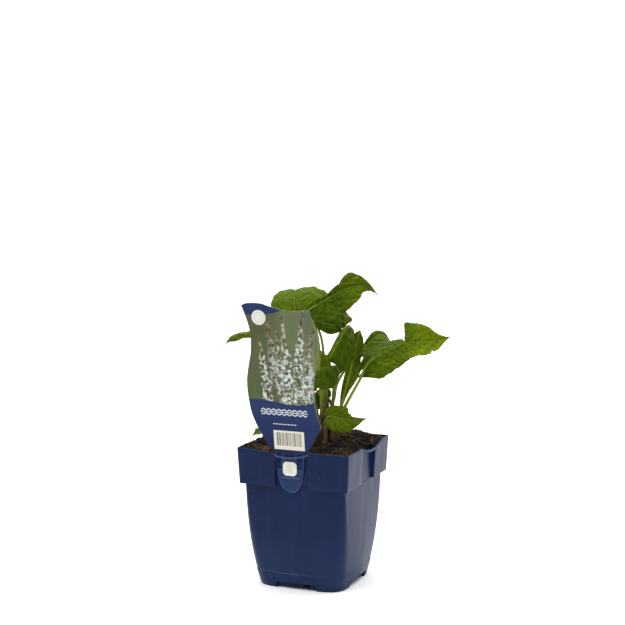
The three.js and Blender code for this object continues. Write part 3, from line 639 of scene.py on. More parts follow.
class Shells:
    """Closed shells gathered into one mesh, with values at each vertex."""

    def __init__(self, **kinds):
        self.kinds = kinds
        self.points, self.faces, self.slots = [], [], []
        self.values = {key: [] for key in kinds}
        self.count = 0

    def add(self, points, faces, slots=0, **values):
        points = np.asarray(points, float).reshape(-1, 3)
        self.points.append(points)
        self.faces.extend([[i + self.count for i in face] for face in faces])
        self.slots.append(np.full(len(faces), slots, int) if np.isscalar(slots) else slots)
        for key in self.kinds:
            value = np.asarray(values[key], float)
            if value.ndim == 1:
                value = np.tile(value, (len(points), 1))
            self.values[key].append(value)
        self.count += len(points)

    def piece(self, name, materials, sharp=None):
        mesh = bpy.data.meshes.new(name)
        where = np.concatenate(self.points) * MM + AXIS
        mesh.from_pydata(where.tolist(), [], self.faces, shade_flat=False)
        for material in materials:
            mesh.materials.append(material)
        mesh.polygons.foreach_set("material_index", np.concatenate(self.slots).astype(np.int32))
        for key, kind in self.kinds.items():
            made = mesh.attributes.new(key, kind, "POINT")
            data = np.concatenate(self.values[key])
            if kind == "FLOAT_COLOR":
                data = np.hstack([data, np.ones((len(data), 1))])
            made.data.foreach_set("color" if kind == "FLOAT_COLOR" else "vector", data.ravel())
        if sharp:
            mesh.set_sharp_from_angle(angle=math.radians(sharp))
        mesh.update()
        return linked(name, mesh)


def quads(rows, columns, start=0, flip=False, wrap=False):
    """Faces of a grid of points, row by row."""
    faces = []
    across = columns if wrap else columns - 1
    for i in range(rows - 1):
        for j in range(across):
            a = start + i * columns + j
            b = start + i * columns + (j + 1) % columns
            face = [a, b, b + columns, a + columns]
            faces.append(face[::-1] if flip else face)
    return faces


def sheet_faces(rows, columns):
    """Faces of a closed sheet: an upper grid, a lower grid and the strip round them."""
    below = rows * columns
    faces = quads(rows, columns) + quads(rows, columns, below, flip=True)
    split = len(faces) // 2
    for i in range(rows - 1):
        a, b = i * columns, (i + 1) * columns
        faces.append([a, b, below + b, below + a])
        a, b = a + columns - 1, b + columns - 1
        faces.append([b, a, below + a, below + b])
    last = (rows - 1) * columns
    for j in range(columns - 1):
        faces.append([j + 1, j, below + j, below + j + 1])
        faces.append([last + j, last + j + 1, below + last + j + 1, below + last + j])
    return faces, split


def centripetal(points, samples=40):
    """The curve that the part's source draws through these points, sampled densely."""
    p = np.array(points, float)
    before = 2 * p[0] - p[1]
    after = 2 * p[-1] - p[-2]
    q = np.vstack([before, p, after])
    pieces = []
    for i in range(len(p) - 1):
        p0, p1, p2, p3 = q[i : i + 4]
        d0, d1, d2 = (math.sqrt(np.linalg.norm(b - a)) for a, b in ((p0, p1), (p1, p2), (p2, p3)))
        t1 = ((p1 - p0) / d0 - (p2 - p0) / (d0 + d1) + (p2 - p1) / d1) * d1
        t2 = ((p2 - p1) / d1 - (p3 - p1) / (d1 + d2) + (p3 - p2) / d2) * d1
        w = np.linspace(0, 1, samples, endpoint=False)[:, None]
        c2 = -3 * p1 + 3 * p2 - 2 * t1 - t2
        c3 = 2 * p1 - 2 * p2 + t1 + t2
        pieces.append(p1 + t1 * w + c2 * w**2 + c3 * w**3)
    return np.vstack([*pieces, p[-1:]])


class Curve:
    """A space curve, read by the share of its length."""

    def __init__(self, points):
        self.points = centripetal(points)
        gaps = np.linalg.norm(np.diff(self.points, axis=0), axis=1)
        reach = np.concatenate([[0], np.cumsum(gaps)])
        self.length = reach[-1]
        self.share = reach / self.length
        ways = np.gradient(self.points, self.share, axis=0)
        self.ways = ways / np.linalg.norm(ways, axis=1, keepdims=True)

    def at(self, t):
        return np.stack([np.interp(t, self.share, self.points[:, k]) for k in range(3)], axis=-1)

    def along(self, t):
        way = np.stack([np.interp(t, self.share, self.ways[:, k]) for k in range(3)], axis=-1)
        return way / np.linalg.norm(way, axis=-1, keepdims=True)


def tube(shells, path, radii, sides, slots=0, shape=None, **values):
    """A closed tube round a path of points, its rings turned as little as possible."""
    path = np.asarray(path, float)
    ways = np.gradient(path, axis=0)
    ways /= np.linalg.norm(ways, axis=1, keepdims=True)
    side = np.cross(ways[0], [0.3, 0.9, 0.2])
    rings = []
    angles = np.arange(sides) * 2 * math.pi / sides
    form = np.ones(sides) if shape is None else shape(angles)
    for point, way, radius in zip(path, ways, radii):
        side = side - way * side.dot(way)
        side /= np.linalg.norm(side)
        over = np.cross(way, side)
        reach = (radius * form)[:, None]
        rings.append(point + reach * (np.cos(angles)[:, None] * side + np.sin(angles)[:, None] * over))
    points = np.vstack([*rings, path[:1], path[-1:]])
    count = len(path)
    faces = quads(count, sides, wrap=True)
    foot, tip = count * sides, count * sides + 1
    for j in range(sides):
        k = (j + 1) % sides
        faces.append([foot, k, j])
        faces.append([tip, (count - 1) * sides + j, (count - 1) * sides + k])
    filled = {}
    for key, value in values.items():
        value = np.asarray(value, float)
        if value.ndim == 2:
            value = np.vstack([np.repeat(value, sides, axis=0), value[:1], value[-1:]])
        filled[key] = value
    shells.add(points, faces, slots, **filled)


def turned(points, quarter):
    """The points after some quarter turns round the pot's axis."""
    c, s = round(math.cos(math.pi / 2 * quarter)), round(math.sin(math.pi / 2 * quarter))
    x, y, z = np.asarray(points, float).T
    return np.stack([x * c - y * s, x * s + y * c, z], axis=1)


BOX_FACES = [[0, 2, 3, 1], [4, 5, 7, 6], [0, 1, 5, 4], [2, 6, 7, 3], [0, 4, 6, 2], [1, 3, 7, 5]]


def box_points(x, y, z):
    return [(a, b, c) for c in z for b in y for a in x]


def smooth(x, low, high):
    t = np.clip((x - low) / (high - low), 0, 1)
    return t * t * (3 - 2 * t)


def ripple(x, y, wavelength, seed, waves=14):
    """Even, seeded lumpiness of about one wavelength, from -1 to 1."""
    draw = np.random.default_rng(seed)
    total = np.zeros(np.broadcast(x, y).shape)
    for _ in range(waves):
        angle, phase = draw.uniform(0, 2 * math.pi, 2)
        k = 2 * math.pi / (wavelength * draw.uniform(0.7, 1.4))
        total += np.sin(k * (x * math.cos(angle) + y * math.sin(angle)) + phase)
    return total / math.sqrt(waves)


def put(piece, slot, *nodes):
    """Rides a piece on the object's one body, in place of the nodes that it stands for."""
    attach(piece, "root")
    if nodes:
        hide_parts(*nodes)
    return piece


# Pot


def body_share(z):
    return min(max(z / BAND_BOTTOM, 0), 1)


def body_half(z):
    return BODY_FOOT_HALF + (BODY_TOP_HALF - BODY_FOOT_HALF) * (1 - (1 - body_share(z)) ** BODY_SWELL)


def body_corner(z):
    return BODY_FOOT_CORNER - (BODY_FOOT_CORNER - BODY_TOP_CORNER) * body_share(z) ** 0.9


def body_bow(z):
    return BODY_FOOT_BOW - (BODY_FOOT_BOW - BODY_TOP_BOW) * body_share(z)


def band_half(z):
    return BAND_HALF + (RIM_HALF - BAND_HALF) * (z - BAND_BOTTOM) / (POT_HEIGHT - BAND_BOTTOM)


def recess_sink(z):
    """How far the recess lies below the rim line at this level."""
    return (POT_HEIGHT - RECESS_TOP) * max(0, (z - SINK_START) / (POT_HEIGHT - SINK_START))


def pot_ring(z, half, corner, bow, recess, wall=0.0, sink=0.0):
    """One level of the pot's skin. recess is how much of each side's recess shows, from 0 to 1."""
    side_steps, fillet_steps, recess_steps, corner_steps = 8, 3, 12, 9
    flat = half - corner
    edge = RECESS_HALF + wall
    face = RECESS_FACE - wall
    fillet = FILLET * (1 if wall == 0 else 0.6)
    side = []

    def on_side(x):
        return -half - bow * (1 - (x / flat) ** 2)

    for i in range(side_steps + 1):
        x = -flat + (flat - edge - fillet) * i / side_steps
        side.append((x, on_side(x), z))
    for i in range(1, fillet_steps + 1):
        a = math.pi / 2 * i / fillet_steps
        x = -edge - fillet + fillet * math.sin(a)
        side.append((x, on_side(x) + fillet * (1 - math.cos(a)) * recess, z))
    for i in range(fillet_steps + 1):
        a = math.pi / 2 * i / fillet_steps
        x = -edge + fillet * (1 - math.cos(a))
        y = -face - fillet * (1 - math.sin(a))
        side.append((x, on_side(x) * (1 - recess) + y * recess, z - sink * i / fillet_steps * 0.9))
    start = -edge + fillet
    for i in range(1, recess_steps):
        x = start * (1 - 2 * i / recess_steps)
        side.append((x, on_side(x) * (1 - recess) - face * recess, z - sink))
    mirrored = [(-x, y, height) for x, y, height in side[::-1]]
    side += mirrored[recess_steps - 1 :]
    for i in range(1, corner_steps):
        a = math.pi / 2 * (i / corner_steps - 1)
        side.append((flat + corner * math.cos(a), -flat + corner * math.sin(a), z))
    return np.vstack([turned(side, quarter) for quarter in range(4)])


def body_ring(z, inset=0.0, extra=0.0, at=None):
    corner = max(body_corner(z) - inset, 0.8)
    height = z if at is None else at
    return pot_ring(height, body_half(z) - inset + extra, corner, body_bow(z), 0.0)


def band_ring(z, inset=0.0, sink=0.0, at=None):
    corner = max(RIM_CORNER - inset, 0.8)
    height = z if at is None else at
    return pot_ring(height, band_half(z) - inset, corner, 0.0, 1.0, inset, sink)


# Small steps of the skin, each as its height over the level and the share of the step made
SEAM_STEPS = [(-0.4, 0.85), (-0.15, 0.5), (0.05, 0), (0.5, 0)]
BAND_STEPS = [(-0.5, 0), (-0.25, 0.03), (-0.08, 0.12), (0, 0.3), (0, 0.85), (0.12, 0.97), (0.45, 1)]
# The rounded lip, each as its way in from the rim's face and its height
LIP_STEPS = [(0.06, 131.75), (0.2, 131.93), (0.42, 132), (0.98, 132), (1.2, 131.93), (1.34, 131.75)]


def pot_rings():
    """The skin's levels: up from under the floor, over the rim and down to the floor inside."""
    rings = [
        body_ring(FLOOR_UNDERSIDE, FOOT_WALL),
        body_ring(0, FOOT_WALL, at=0.3),
        body_ring(0, FOOT_WALL - 0.3),
        body_ring(0, 0.3, SEAM_STEP),
        body_ring(0, 0.08, SEAM_STEP, at=0.1),
    ]
    rings += [body_ring(z, 0, SEAM_STEP) for z in (0.35, 3, 6, 9, 12, SEAM_Z - 0.8)]
    rings += [body_ring(SEAM_Z + rise, 0, SEAM_STEP * share) for rise, share in SEAM_STEPS]
    rings += [body_ring(z) for z in np.linspace(SEAM_Z + 3, BAND_BOTTOM - 1.5, 26)]
    body_top = body_half(BAND_BOTTOM)
    for rise, share in BAND_STEPS:
        half = body_top + (BAND_HALF - body_top) * share
        corner = BODY_TOP_CORNER + (RIM_CORNER - BODY_TOP_CORNER) * share
        rings.append(pot_ring(BAND_BOTTOM + rise, half, corner, BODY_TOP_BOW * (1 - share), share))
    levels = np.linspace(BAND_BOTTOM + 3, POT_HEIGHT - 0.55, 12)
    rings += [band_ring(z, sink=recess_sink(z)) for z in levels]
    rings += [band_ring(POT_HEIGHT - 0.5, inset, recess_sink(POT_HEIGHT), z) for inset, z in LIP_STEPS]
    rings += [band_ring(z, WALL, recess_sink(z)) for z in (POT_HEIGHT - 0.6, 128, 124, 118, 110, 101)]
    rings += [body_ring(z, WALL) for z in (BAND_BOTTOM, 80, 60, 40, 24, 14, FLOOR_TOP + 0.4)]
    return rings + [body_ring(FLOOR_TOP, WALL + 0.5)]


def pot_mesh():
    rings = pot_rings()
    count = len(rings[0])
    last = (len(rings) - 1) * count
    middles = [(0.0, 0.0, ring[0][2]) for ring in (rings[0], rings[-1])]
    under, inside = len(rings) * count, len(rings) * count + 1
    faces = quads(len(rings), count, wrap=True)
    faces += [[under, (j + 1) % count, j] for j in range(count)]
    faces += [[inside, last + j, last + (j + 1) % count] for j in range(count)]
    shells = Shells()
    shells.add(np.vstack([*rings, middles]), faces)
    return shells.piece("pot_skin", [])


def lip_bar(ends, hang):
    """Points and faces of the thin bar over a recess, its section cut off at the corners."""
    steps, c = 20, BAR_CORNER
    section = [
        (c, 0), (BAR_DEPTH - c, 0), (BAR_DEPTH, c), (BAR_DEPTH, BAR_HEIGHT - c),
        (BAR_DEPTH - c, BAR_HEIGHT), (c, BAR_HEIGHT), (0, BAR_HEIGHT - c), (0, c),
    ]
    points = []
    for i in range(steps + 1):
        q = 2 * i / steps - 1
        x = q * (RECESS_HALF + WALL / 2)
        sag = 1 - q * q
        low = ends[0] + (ends[1] - ends[0]) * i / steps - hang * sag - BAR_HEIGHT
        front = -RIM_HALF + 0.1 - BAR_BULGE * sag
        points += [(x, front + deep, low + up) for deep, up in section]
    count = len(section)
    faces = quads(steps + 1, count, wrap=True)
    return points, faces + [list(range(count))[::-1], list(range(steps * count, len(points)))]


def slack_rim(pot):
    """Lets the front rim's left half and the right rim's far half sink towards their bars."""
    points = np.empty(len(pot.data.vertices) * 3)
    pot.data.vertices.foreach_get("co", points)
    points = points.reshape(-1, 3)
    x, y, z = ((points[:, k] - AXIS[k]) / MM for k in range(3))
    front = (y < -RECESS_FACE + 4) & (x < -RECESS_HALF + 0.3)
    front_fall = RIM_SLACK * smooth(-x, 48, 22) + EDGE_SLACK * smooth(-x, 21, 17)
    side = (x > RECESS_FACE - 4) & (y > RECESS_HALF - 0.3)
    side_fall = SIDE_SLACK * smooth(y, 40, 17)
    drop = np.where(front, front_fall, 0) + np.where(side, side_fall, 0)
    points[:, 2] -= drop * smooth(z, SINK_START, POT_HEIGHT) * MM
    pot.data.vertices.foreach_set("co", points.ravel())
    pot.data.update()


def carve(target, cutter):
    """Cuts the cutter out of the target, which stays a plain mesh."""
    change = target.modifiers.new("carve", "BOOLEAN")
    change.operation = "DIFFERENCE"
    change.solver = "EXACT"
    change.object = cutter
    bpy.context.view_layer.update()
    graph = bpy.context.evaluated_depsgraph_get()
    mesh = bpy.data.meshes.new_from_object(target.evaluated_get(graph))
    target.modifiers.clear()
    old, gone = target.data, cutter.data
    target.data = mesh
    bpy.data.objects.remove(cutter)
    bpy.data.meshes.remove(old)
    bpy.data.meshes.remove(gone)


def foot_cuts():
    """What is cut out of the pot: a notch in each side of the foot ring, and the drain holes."""
    notches, drains = Shells(), Shells()
    notch = box_points((-NOTCH_HALF, NOTCH_HALF), (-BODY_TOP_HALF, SKIRT_BACK), (-5, FLOOR_UNDERSIDE))
    for quarter in range(4):
        notches.add(turned(notch, quarter), BOX_FACES)
    places = [(0, 0)] + [(a * 30, b * 30) for a, b in ((0, -1), (1, 0), (0, 1), (-1, 0))]
    places += [(a * 24, b * 24) for a in (-1, 1) for b in (-1, 1)]
    for x, y in places:
        tube(drains, [(x, y, 4.0), (x, y, 6.0), (x, y, 9.0)], [DRAIN_RADIUS] * 3, 24)
    return notches.piece("notches", []), drains.piece("drains", [])


def bars_and_skirts():
    """The lip bars over the recesses, and the cut-up skirt in each notch of the foot."""
    shells = Shells()
    for quarter in range(4):
        points, faces = lip_bar(*SLACK_BARS.get(quarter, (BAR_ENDS, BAR_SAG)))
        shells.add(turned(points, quarter), faces)
        for x0, x1, back in ((-7, 6.5, 1.2), (-22, -7, 0.8), (12, 22, 1.2)):
            skirt = box_points((x0, x1), (back - SKIRT_FACE, SKIRT_BACK), (1, FLOOR_UNDERSIDE + 0.6))
            shells.add(turned(skirt, quarter), BOX_FACES)
    return shells.piece("bars", [])


def make_pot(material):
    pot = pot_mesh()
    for cutter in foot_cuts():
        carve(pot, cutter)
    slack_rim(pot)
    extras = bars_and_skirts()
    joined = bmesh.new()
    joined.from_mesh(pot.data)
    joined.from_mesh(extras.data)
    joined.to_mesh(pot.data)
    joined.free()
    bpy.data.objects.remove(extras)
    pot.data.materials.clear()
    pot.data.materials.append(material)
    for polygon in pot.data.polygons:
        polygon.use_smooth = True
        polygon.material_index = 0
    pot.data.set_sharp_from_angle(angle=math.radians(38))
    pot.name = "nursery_pot"
    return put(pot, "pot_plastic", "pot")


# Label


def flat_spline(points, samples=12):
    """A smooth plane curve through the points, as the part's source draws it, without its end."""
    p = np.array(points, float)
    made = []
    for i in range(len(p) - 1):
        p0, p1, p2, p3 = p[max(i - 1, 0)], p[i], p[i + 1], p[min(i + 2, len(p) - 1)]
        v0, v1 = (p2 - p0) / 2, (p3 - p1) / 2
        c3, c2 = 2 * p1 - 2 * p2 + v0 + v1, -3 * p1 + 3 * p2 - 2 * v0 - v1
        for w in np.linspace(0, 1, samples, endpoint=False):
            made.append(tuple(c3 * w**3 + c2 * w**2 + v0 * w + p1))
    return made


LABEL_FOOT = [
    (-20.9, 0), (-16.2, 0), (-15.4, -5), (-12, -6.2), (-3, -6.8), (5, -5.6), (12, -3.6), (14.4, -1.6),
]
LABEL_RIGHT = [
    (29.9, 24.4), (25.9, 38), (24.7, 48), (24.7, 59.3), (25.6, 69.5), (28.5, 82.9),
    (30.5, 95), (30.8, 105), (29.3, 116), (23.6, 134.1),
]
LABEL_TOP = [
    (23.6, 134.1), (14.1, 132.9), (5.7, 132.3), (-0.6, 132.7), (-7.9, 134), (-15.2, 136.1),
    (-22.5, 138.1), (-30, 138.4), (-37.6, 137.7), (-42, 135.7),
]
LABEL_LEFT = [
    (-42, 135.7), (-38.4, 125.8), (-35.4, 114.8), (-34.5, 103.7), (-35.6, 91.4), (-38.1, 81),
    (-40.6, 68.5), (-41.2, 58.1), (-40.2, 45.7), (-38.3, 34.4), (-33.6, 22.1), (-24.9, 6),
]
TONGUE_WINDOWS = [
    [(-15.2, -17.4), (-15.2, -7.8), (-10.9, -7.8), (-10.9, -17.4)],
    [(4.1, -16.9), (4.1, -6.7), (9.7, -6.7), (9.7, -16.9)],
]


def label_outline():
    sides = flat_spline(LABEL_RIGHT) + flat_spline(LABEL_TOP) + flat_spline(LABEL_LEFT)
    return LABEL_FOOT + sides + [LABEL_LEFT[-1]]


def bezier(*corners, steps=10):
    w = np.linspace(0, 1, steps + 1)[1:, None]
    v = 1 - w
    p0, p1, p2, p3 = (np.array(corner, float) for corner in corners)
    return [tuple(p) for p in v**3 * p0 + 3 * v**2 * w * p1 + 3 * v * w**2 * p2 + w**3 * p3]


def tongue_outline():
    left = bezier((-16.4, -13), (-15.6, -27), (-11, -38.9), (-1, -39.2))
    right = bezier((-1, -39.2), (7.6, -39.2), (10.8, -26), (11, -13))
    return [(-16.8, -1), (-16.4, -13)] + left + right + [(11.4, -1)]


def plate(name, outline, holes, lean, back=0.0):
    """A flat plate of the label's thickness with softened edges, leaning outwards."""
    curve = bpy.data.curves.new(name, "CURVE")
    curve.dimensions = "2D"
    curve.fill_mode = "BOTH"
    for points in [outline, *holes]:
        spline = curve.splines.new("POLY")
        spline.points.add(len(points) - 1)
        for point, (x, y) in zip(spline.points, points):
            point.co = (x, y, 0, 1)
        spline.use_cyclic_u = True
    curve.extrude = LABEL_THICKNESS / 2 - LABEL_BEVEL
    curve.bevel_depth = LABEL_BEVEL
    curve.bevel_resolution = 1
    curve.offset = -LABEL_BEVEL
    holder = linked(name, curve)
    bpy.context.view_layer.update()
    graph = bpy.context.evaluated_depsgraph_get()
    mesh = bpy.data.meshes.new_from_object(holder.evaluated_get(graph))
    bpy.data.objects.remove(holder)
    bpy.data.curves.remove(curve)
    x, y, z = np.array([vertex.co[:] for vertex in mesh.vertices]).T
    faces = [list(polygon.vertices) for polygon in mesh.polygons]
    bpy.data.meshes.remove(mesh)
    c, s = math.cos(math.radians(90 + lean)), math.sin(math.radians(90 + lean))
    placed = np.stack([x, y * c - z * s + HANG_Y + back, y * s + z * c + HANG_Z], axis=1)
    return placed, faces, np.stack([x, y + LABEL_DROP, z > 0], axis=1)


def make_label(material):
    shells = Shells(print_mm="FLOAT_VECTOR")
    placed, faces, print_mm = plate("label", label_outline(), [], LABEL_LEAN)
    print_mm[:, 1] = np.maximum(print_mm[:, 1], 0.5)
    shells.add(placed, faces, print_mm=print_mm)
    placed, faces, print_mm = plate("tongue", tongue_outline(), TONGUE_WINDOWS, TONGUE_LEAN, TONGUE_BACK)
    print_mm[:, 1] = np.minimum(print_mm[:, 1], -0.5)
    shells.add(placed, faces, print_mm=print_mm)
    return put(shells.piece("plant_label", [material], sharp=50), "label_plastic", "label")


# Soil


def soil_height(x, y):
    """The soil as the part's source has it: mounded, heaped at the back and left, low at recesses."""
    reach = np.hypot(x - CROWN[0], y - CROWN[1])
    mound = SOIL_MOUND * np.exp(-((reach / MOUND_SPREAD) ** 2))
    heap = SOIL_BACK * smooth(y, 5, 45) * (1 - 0.55 * smooth(x, 22, 46))
    heap = np.maximum(heap, SOIL_LEFT * smooth(-x, 24, 50) * smooth(-y, -46, -20))

    def slump(along, out):
        near = smooth(np.abs(out), RECESS_FACE - 11, RECESS_FACE + 1)
        return np.exp(-((along / SLUMP_SPREAD) ** 2)) * near

    bumps = 0.6 * np.sin(x * 0.31 + 1.3) * np.cos(y * 0.27)
    ripples = 0.4 * np.sin(x * 0.19 - y * 0.43)
    slumped = RECESS_SLUMP * np.maximum(slump(x, y) * (y < 0), slump(y, x) * (x > 0))
    slumped = slumped + RECESS_SLUMP * slump(x, y) * (y > 0)
    return SOIL_EDGE + mound + heap + bumps + ripples - slumped


def crust_height(x, y):
    """The lumpy top that is laid over the soil."""
    rough = 0.35 * ripple(x, y, 6.5, 11) + 0.3 * np.abs(ripple(x, y, 3.1, 12))
    return soil_height(x, y) + 0.5 + rough + 0.18 * ripple(x, y, 1.7, 13)


def in_spill(x, y):
    """True over the wall of the left recess, where soil has spilled up to the bar."""
    return (x < -SOIL_FACE) & (x > -SPILL_EDGE) & (np.abs(y) < RECESS_HALF - 0.4)


def in_soil(x, y, gap=0.0):
    """True where the room inside the pot holds soil."""
    far = np.maximum(np.abs(x), np.abs(y))
    near = np.minimum(np.abs(x), np.abs(y))
    behind_recess = (near < SOIL_RECESS + gap) & (far > SOIL_FACE - gap)
    return (far < SOIL_HALF - gap) & ~behind_recess


def make_crust(material):
    """A closed sheet over the soil, and over the left recess where soil has spilled."""
    marks = [-SPILL_EDGE, -SOIL_HALF, -SOIL_FACE, -SOIL_RECESS, SOIL_RECESS, SOIL_FACE, SOIL_HALF]
    lines = [marks[0]]
    for a, b in zip(marks, marks[1:]):
        lines += list(np.linspace(a, b, math.ceil((b - a) / CRUST_STEP) + 1)[1:])
    lines = np.array(lines)
    x, y = np.meshgrid(lines, lines)
    count = len(lines)
    over_wall = in_spill(x, y)
    low = np.where(over_wall, RECESS_TOP + 0.3, soil_height(x, y) - CRUST_DEPTH)
    top = np.maximum(crust_height(x, y), low + 0.6)
    top = np.stack([x, y, top], axis=-1).reshape(-1, 3)
    low = np.stack([x, y, low], axis=-1).reshape(-1, 3)
    middle_x = (x[:-1, :-1] + x[1:, 1:]) / 2
    middle_y = (y[:-1, :-1] + y[1:, 1:]) / 2
    kept = in_soil(middle_x, middle_y) | in_spill(middle_x, middle_y)
    faces = []
    below = count * count
    for i, j in zip(*np.nonzero(kept)):
        a = i * count + j
        corners = [a, a + 1, a + count + 1, a + count]
        faces.append(corners)
        faces.append([below + c for c in corners[::-1]])
        for k, (di, dj) in enumerate(((-1, 0), (0, 1), (1, 0), (0, -1))):
            ni, nj = i + di, j + dj
            if 0 <= ni < count - 1 and 0 <= nj < count - 1 and kept[ni, nj]:
                continue
            p, q = corners[k], corners[(k + 1) % 4]
            faces.append([q, p, below + p, below + q])
    used = np.unique([i for face in faces for i in face])
    renumber = np.full(2 * below, -1)
    renumber[used] = np.arange(len(used))
    points = np.vstack([top, low])[used]
    shells = Shells()
    shells.add(points, [[int(renumber[i]) for i in face] for face in faces])
    return put(shells.piece("soil_crust", [material]), "potting_soil")


TINTS = {
    "black": (0.006, 0.004, 0.003),
    "dark": (0.018, 0.010, 0.006),
    "brown": (0.055, 0.028, 0.012),
    "rust": (0.130, 0.060, 0.022),
    "tan": (0.240, 0.135, 0.060),
    "straw": (0.360, 0.235, 0.120),
}
CRUMB_TINTS = ["black"] * 3 + ["dark"] * 3 + ["brown"]
FIBRE_TINTS = ["dark", "brown"] + ["rust"] * 3 + ["tan"] * 3 + ["straw"]
STRAND_TINTS = ["tan", "straw", "rust", "brown"]
SHEATH_TINTS = ["tan", "rust", "brown"]


def drawn_tint(draw, names, low, high):
    """One of the named tints, made somewhat darker or lighter."""
    return np.array(TINTS[names[draw.integers(len(names))]]) * draw.uniform(low, high)


def ball():
    """A small ball of 42 points to knock into crumbs."""
    made = bmesh.new()
    bmesh.ops.create_icosphere(made, subdivisions=2, radius=1)
    points = np.array([v.co[:] for v in made.verts])
    faces = [[v.index for v in f.verts] for f in made.faces]
    made.free()
    return points, faces


def soil_spot(draw, gap):
    while True:
        x, y = draw.uniform(-SOIL_HALF, SOIL_HALF, 2)
        if in_soil(x, y, gap):
            return x, y


def make_crumbs(material, count=900):
    draw = np.random.default_rng(21)
    points, faces = ball()
    shells = Shells(tint="FLOAT_COLOR")
    for _ in range(count):
        x, y = soil_spot(draw, 1.6)
        size = 0.4 + 1.1 * draw.random() ** 3
        stretch = draw.uniform(0.6, 1.3, 3)
        knock = 1 + 0.28 * draw.standard_normal(len(points)).clip(-1.6, 1.6)
        lump = points * knock[:, None] * stretch * size
        lump += [x, y, float(crust_height(x, y)) + size * 0.15]
        shells.add(lump, faces, tint=drawn_tint(draw, CRUMB_TINTS, 0.7, 1.3))
    return put(shells.piece("soil_crumbs", [material], sharp=45), "potting_soil")


def fibre_path(draw, x, y, length, lift, steps=6):
    """A curled fibre that lies on the soil, rising a little in its middle."""
    heading = draw.uniform(0, 2 * math.pi)
    bend = draw.normal(0, 1.6)
    limit = SOIL_HALF - 0.8
    path = []
    for i in range(steps + 1):
        f = i / steps
        angle = heading + bend * (f - 0.5)
        z = float(crust_height(x, y)) + 0.15 + lift * math.sin(math.pi * f) + draw.normal(0, 0.08)
        path.append((x, y, z))
        x = max(-limit, min(limit, x + length / steps * math.cos(angle)))
        y = max(-limit, min(limit, y + length / steps * math.sin(angle)))
    return path


def make_fibres(material, count=1700):
    draw = np.random.default_rng(33)
    shells = Shells(tint="FLOAT_COLOR")
    for _ in range(count):
        x, y = soil_spot(draw, 1.5)
        path = fibre_path(draw, x, y, draw.uniform(4, 16), 2.0 * draw.random() ** 2)
        if not all(in_soil(px, py, 0.2) for px, py, _ in path):
            continue
        if draw.random() > 0.26 + 0.8 * ripple(x, y, 20.0, 8) + 0.6 * smooth(-x, 15, 30):
            continue
        radius = draw.uniform(0.09, 0.24)
        radii = radius * np.sin(np.linspace(0.35, math.pi - 0.25, len(path)))
        tube(shells, path, radii, 4, tint=drawn_tint(draw, FIBRE_TINTS, 0.5, 1.6))
    return put(shells.piece("soil_fibres", [material]), "potting_soil")


# Leaves

# A half blade where its leaf gives nothing else: spread widens it and cuts notch it, along the rib
HALF = {"spread": 1, "fold": 12, "curl": 0, "wave": 0.8, "waves": 3, "phase": 0, "cuts": []}
SLOTS = {entry["node"]: entry["material_slot"] for entry in frame["record"]["subparts"]}


def track(values, t):
    """One number, or pairs of a share of the rib and a value, at each t."""
    if isinstance(values, (int, float)):
        return np.full_like(t, float(values))
    at, value = zip(*values)
    return np.interp(t, at, value)


def blade_outline(t):
    """The half width of a heart-based blade over its length, 1 at the widest."""
    shoulder = 1 - 0.45 * np.maximum(0, 1 - t / 0.12) ** 2
    root = ((t + ROOT_LEAD) / (WIDEST_AT + ROOT_LEAD)) ** ROOT_ROUND
    tip = (np.maximum(1 - t, 0) / (1 - WIDEST_AT)) ** TIP_TAPER
    return shoulder * root * tip


def bent(start, turn, length):
    """How far out and up an arc gets that starts at one angle and turns evenly."""
    rate = np.where(np.abs(turn) < 1e-3, 1e-3, turn)
    out = (np.sin(start + rate * length) - np.sin(start)) / rate
    rise = (np.cos(start) - np.cos(start + rate * length)) / rate
    return out, rise


def half_blade(leaf, rib, t, across, sign):
    """Points of one half of a blade, with the half's width and the way along at each."""
    half = {**HALF, **leaf.get("both", {}), **leaf.get("left" if sign < 0 else "right", {})}
    along = rib.along(t)
    up = np.array(leaf["up"], float)
    tip_up = np.array(leaf.get("tip_up", leaf["up"]), float)
    up = up + (tip_up - up) * t[:, None]
    up -= along * np.sum(up * along, axis=1, keepdims=True)
    up /= np.linalg.norm(up, axis=1, keepdims=True)
    side = np.cross(along, up) * sign
    width = leaf["half"] * blade_outline(t) * track(half["spread"], t)
    for at, reach, depth in half["cuts"]:
        width = width * (1 - depth * np.maximum(0, 1 - np.abs(t - at) / reach))
    width = np.maximum(width, TIP_HALF)
    mm = t * rib.length
    seed = leaf["seed"] + (3.7 if sign > 0 else 0)
    scallop = 0.5 * np.sin(mm * 1.55 + seed) + 0.5 * np.sin(mm * 0.83 + seed * 2.3)
    room = np.clip(width / 14, 0, 1)
    outer = width[:, None] * across[None, :]
    outer = outer + (0.38 * scallop * room)[:, None] * across[None, :] ** 6
    fold = np.radians(track(half["fold"], t))[:, None]
    out, rise = bent(fold, math.radians(half["curl"]), across[None, :])
    wave = half["wave"] * np.sin(2 * math.pi * (half["waves"] * t + half["phase"]))[:, None] * across**2
    frill = 0.5 * np.sin(mm * 0.62 + seed * 1.9)[:, None] * across[None, :] ** 3 * room[:, None]
    lift = width[:, None] * rise + wave * np.minimum(1, width / 8)[:, None] + frill
    stretch = outer / np.maximum(width[:, None] * across[None, :], 1e-6)
    lobe = half.get("lobe", leaf["lobe"]) * np.maximum(0, 1 - t / LOBE_END) ** 2
    lobe = lobe[:, None] * (1 - (1 - across) ** 2)
    points = (
        rib.at(t)[:, None, :]
        + side[:, None, :] * (width[:, None] * out * np.where(across > 0, stretch, 1))[..., None]
        + up[:, None, :] * lift[..., None]
        - along[:, None, :] * lobe[..., None]
    )
    return points, np.broadcast_to(outer, lift.shape), np.broadcast_to(mm[:, None], lift.shape)


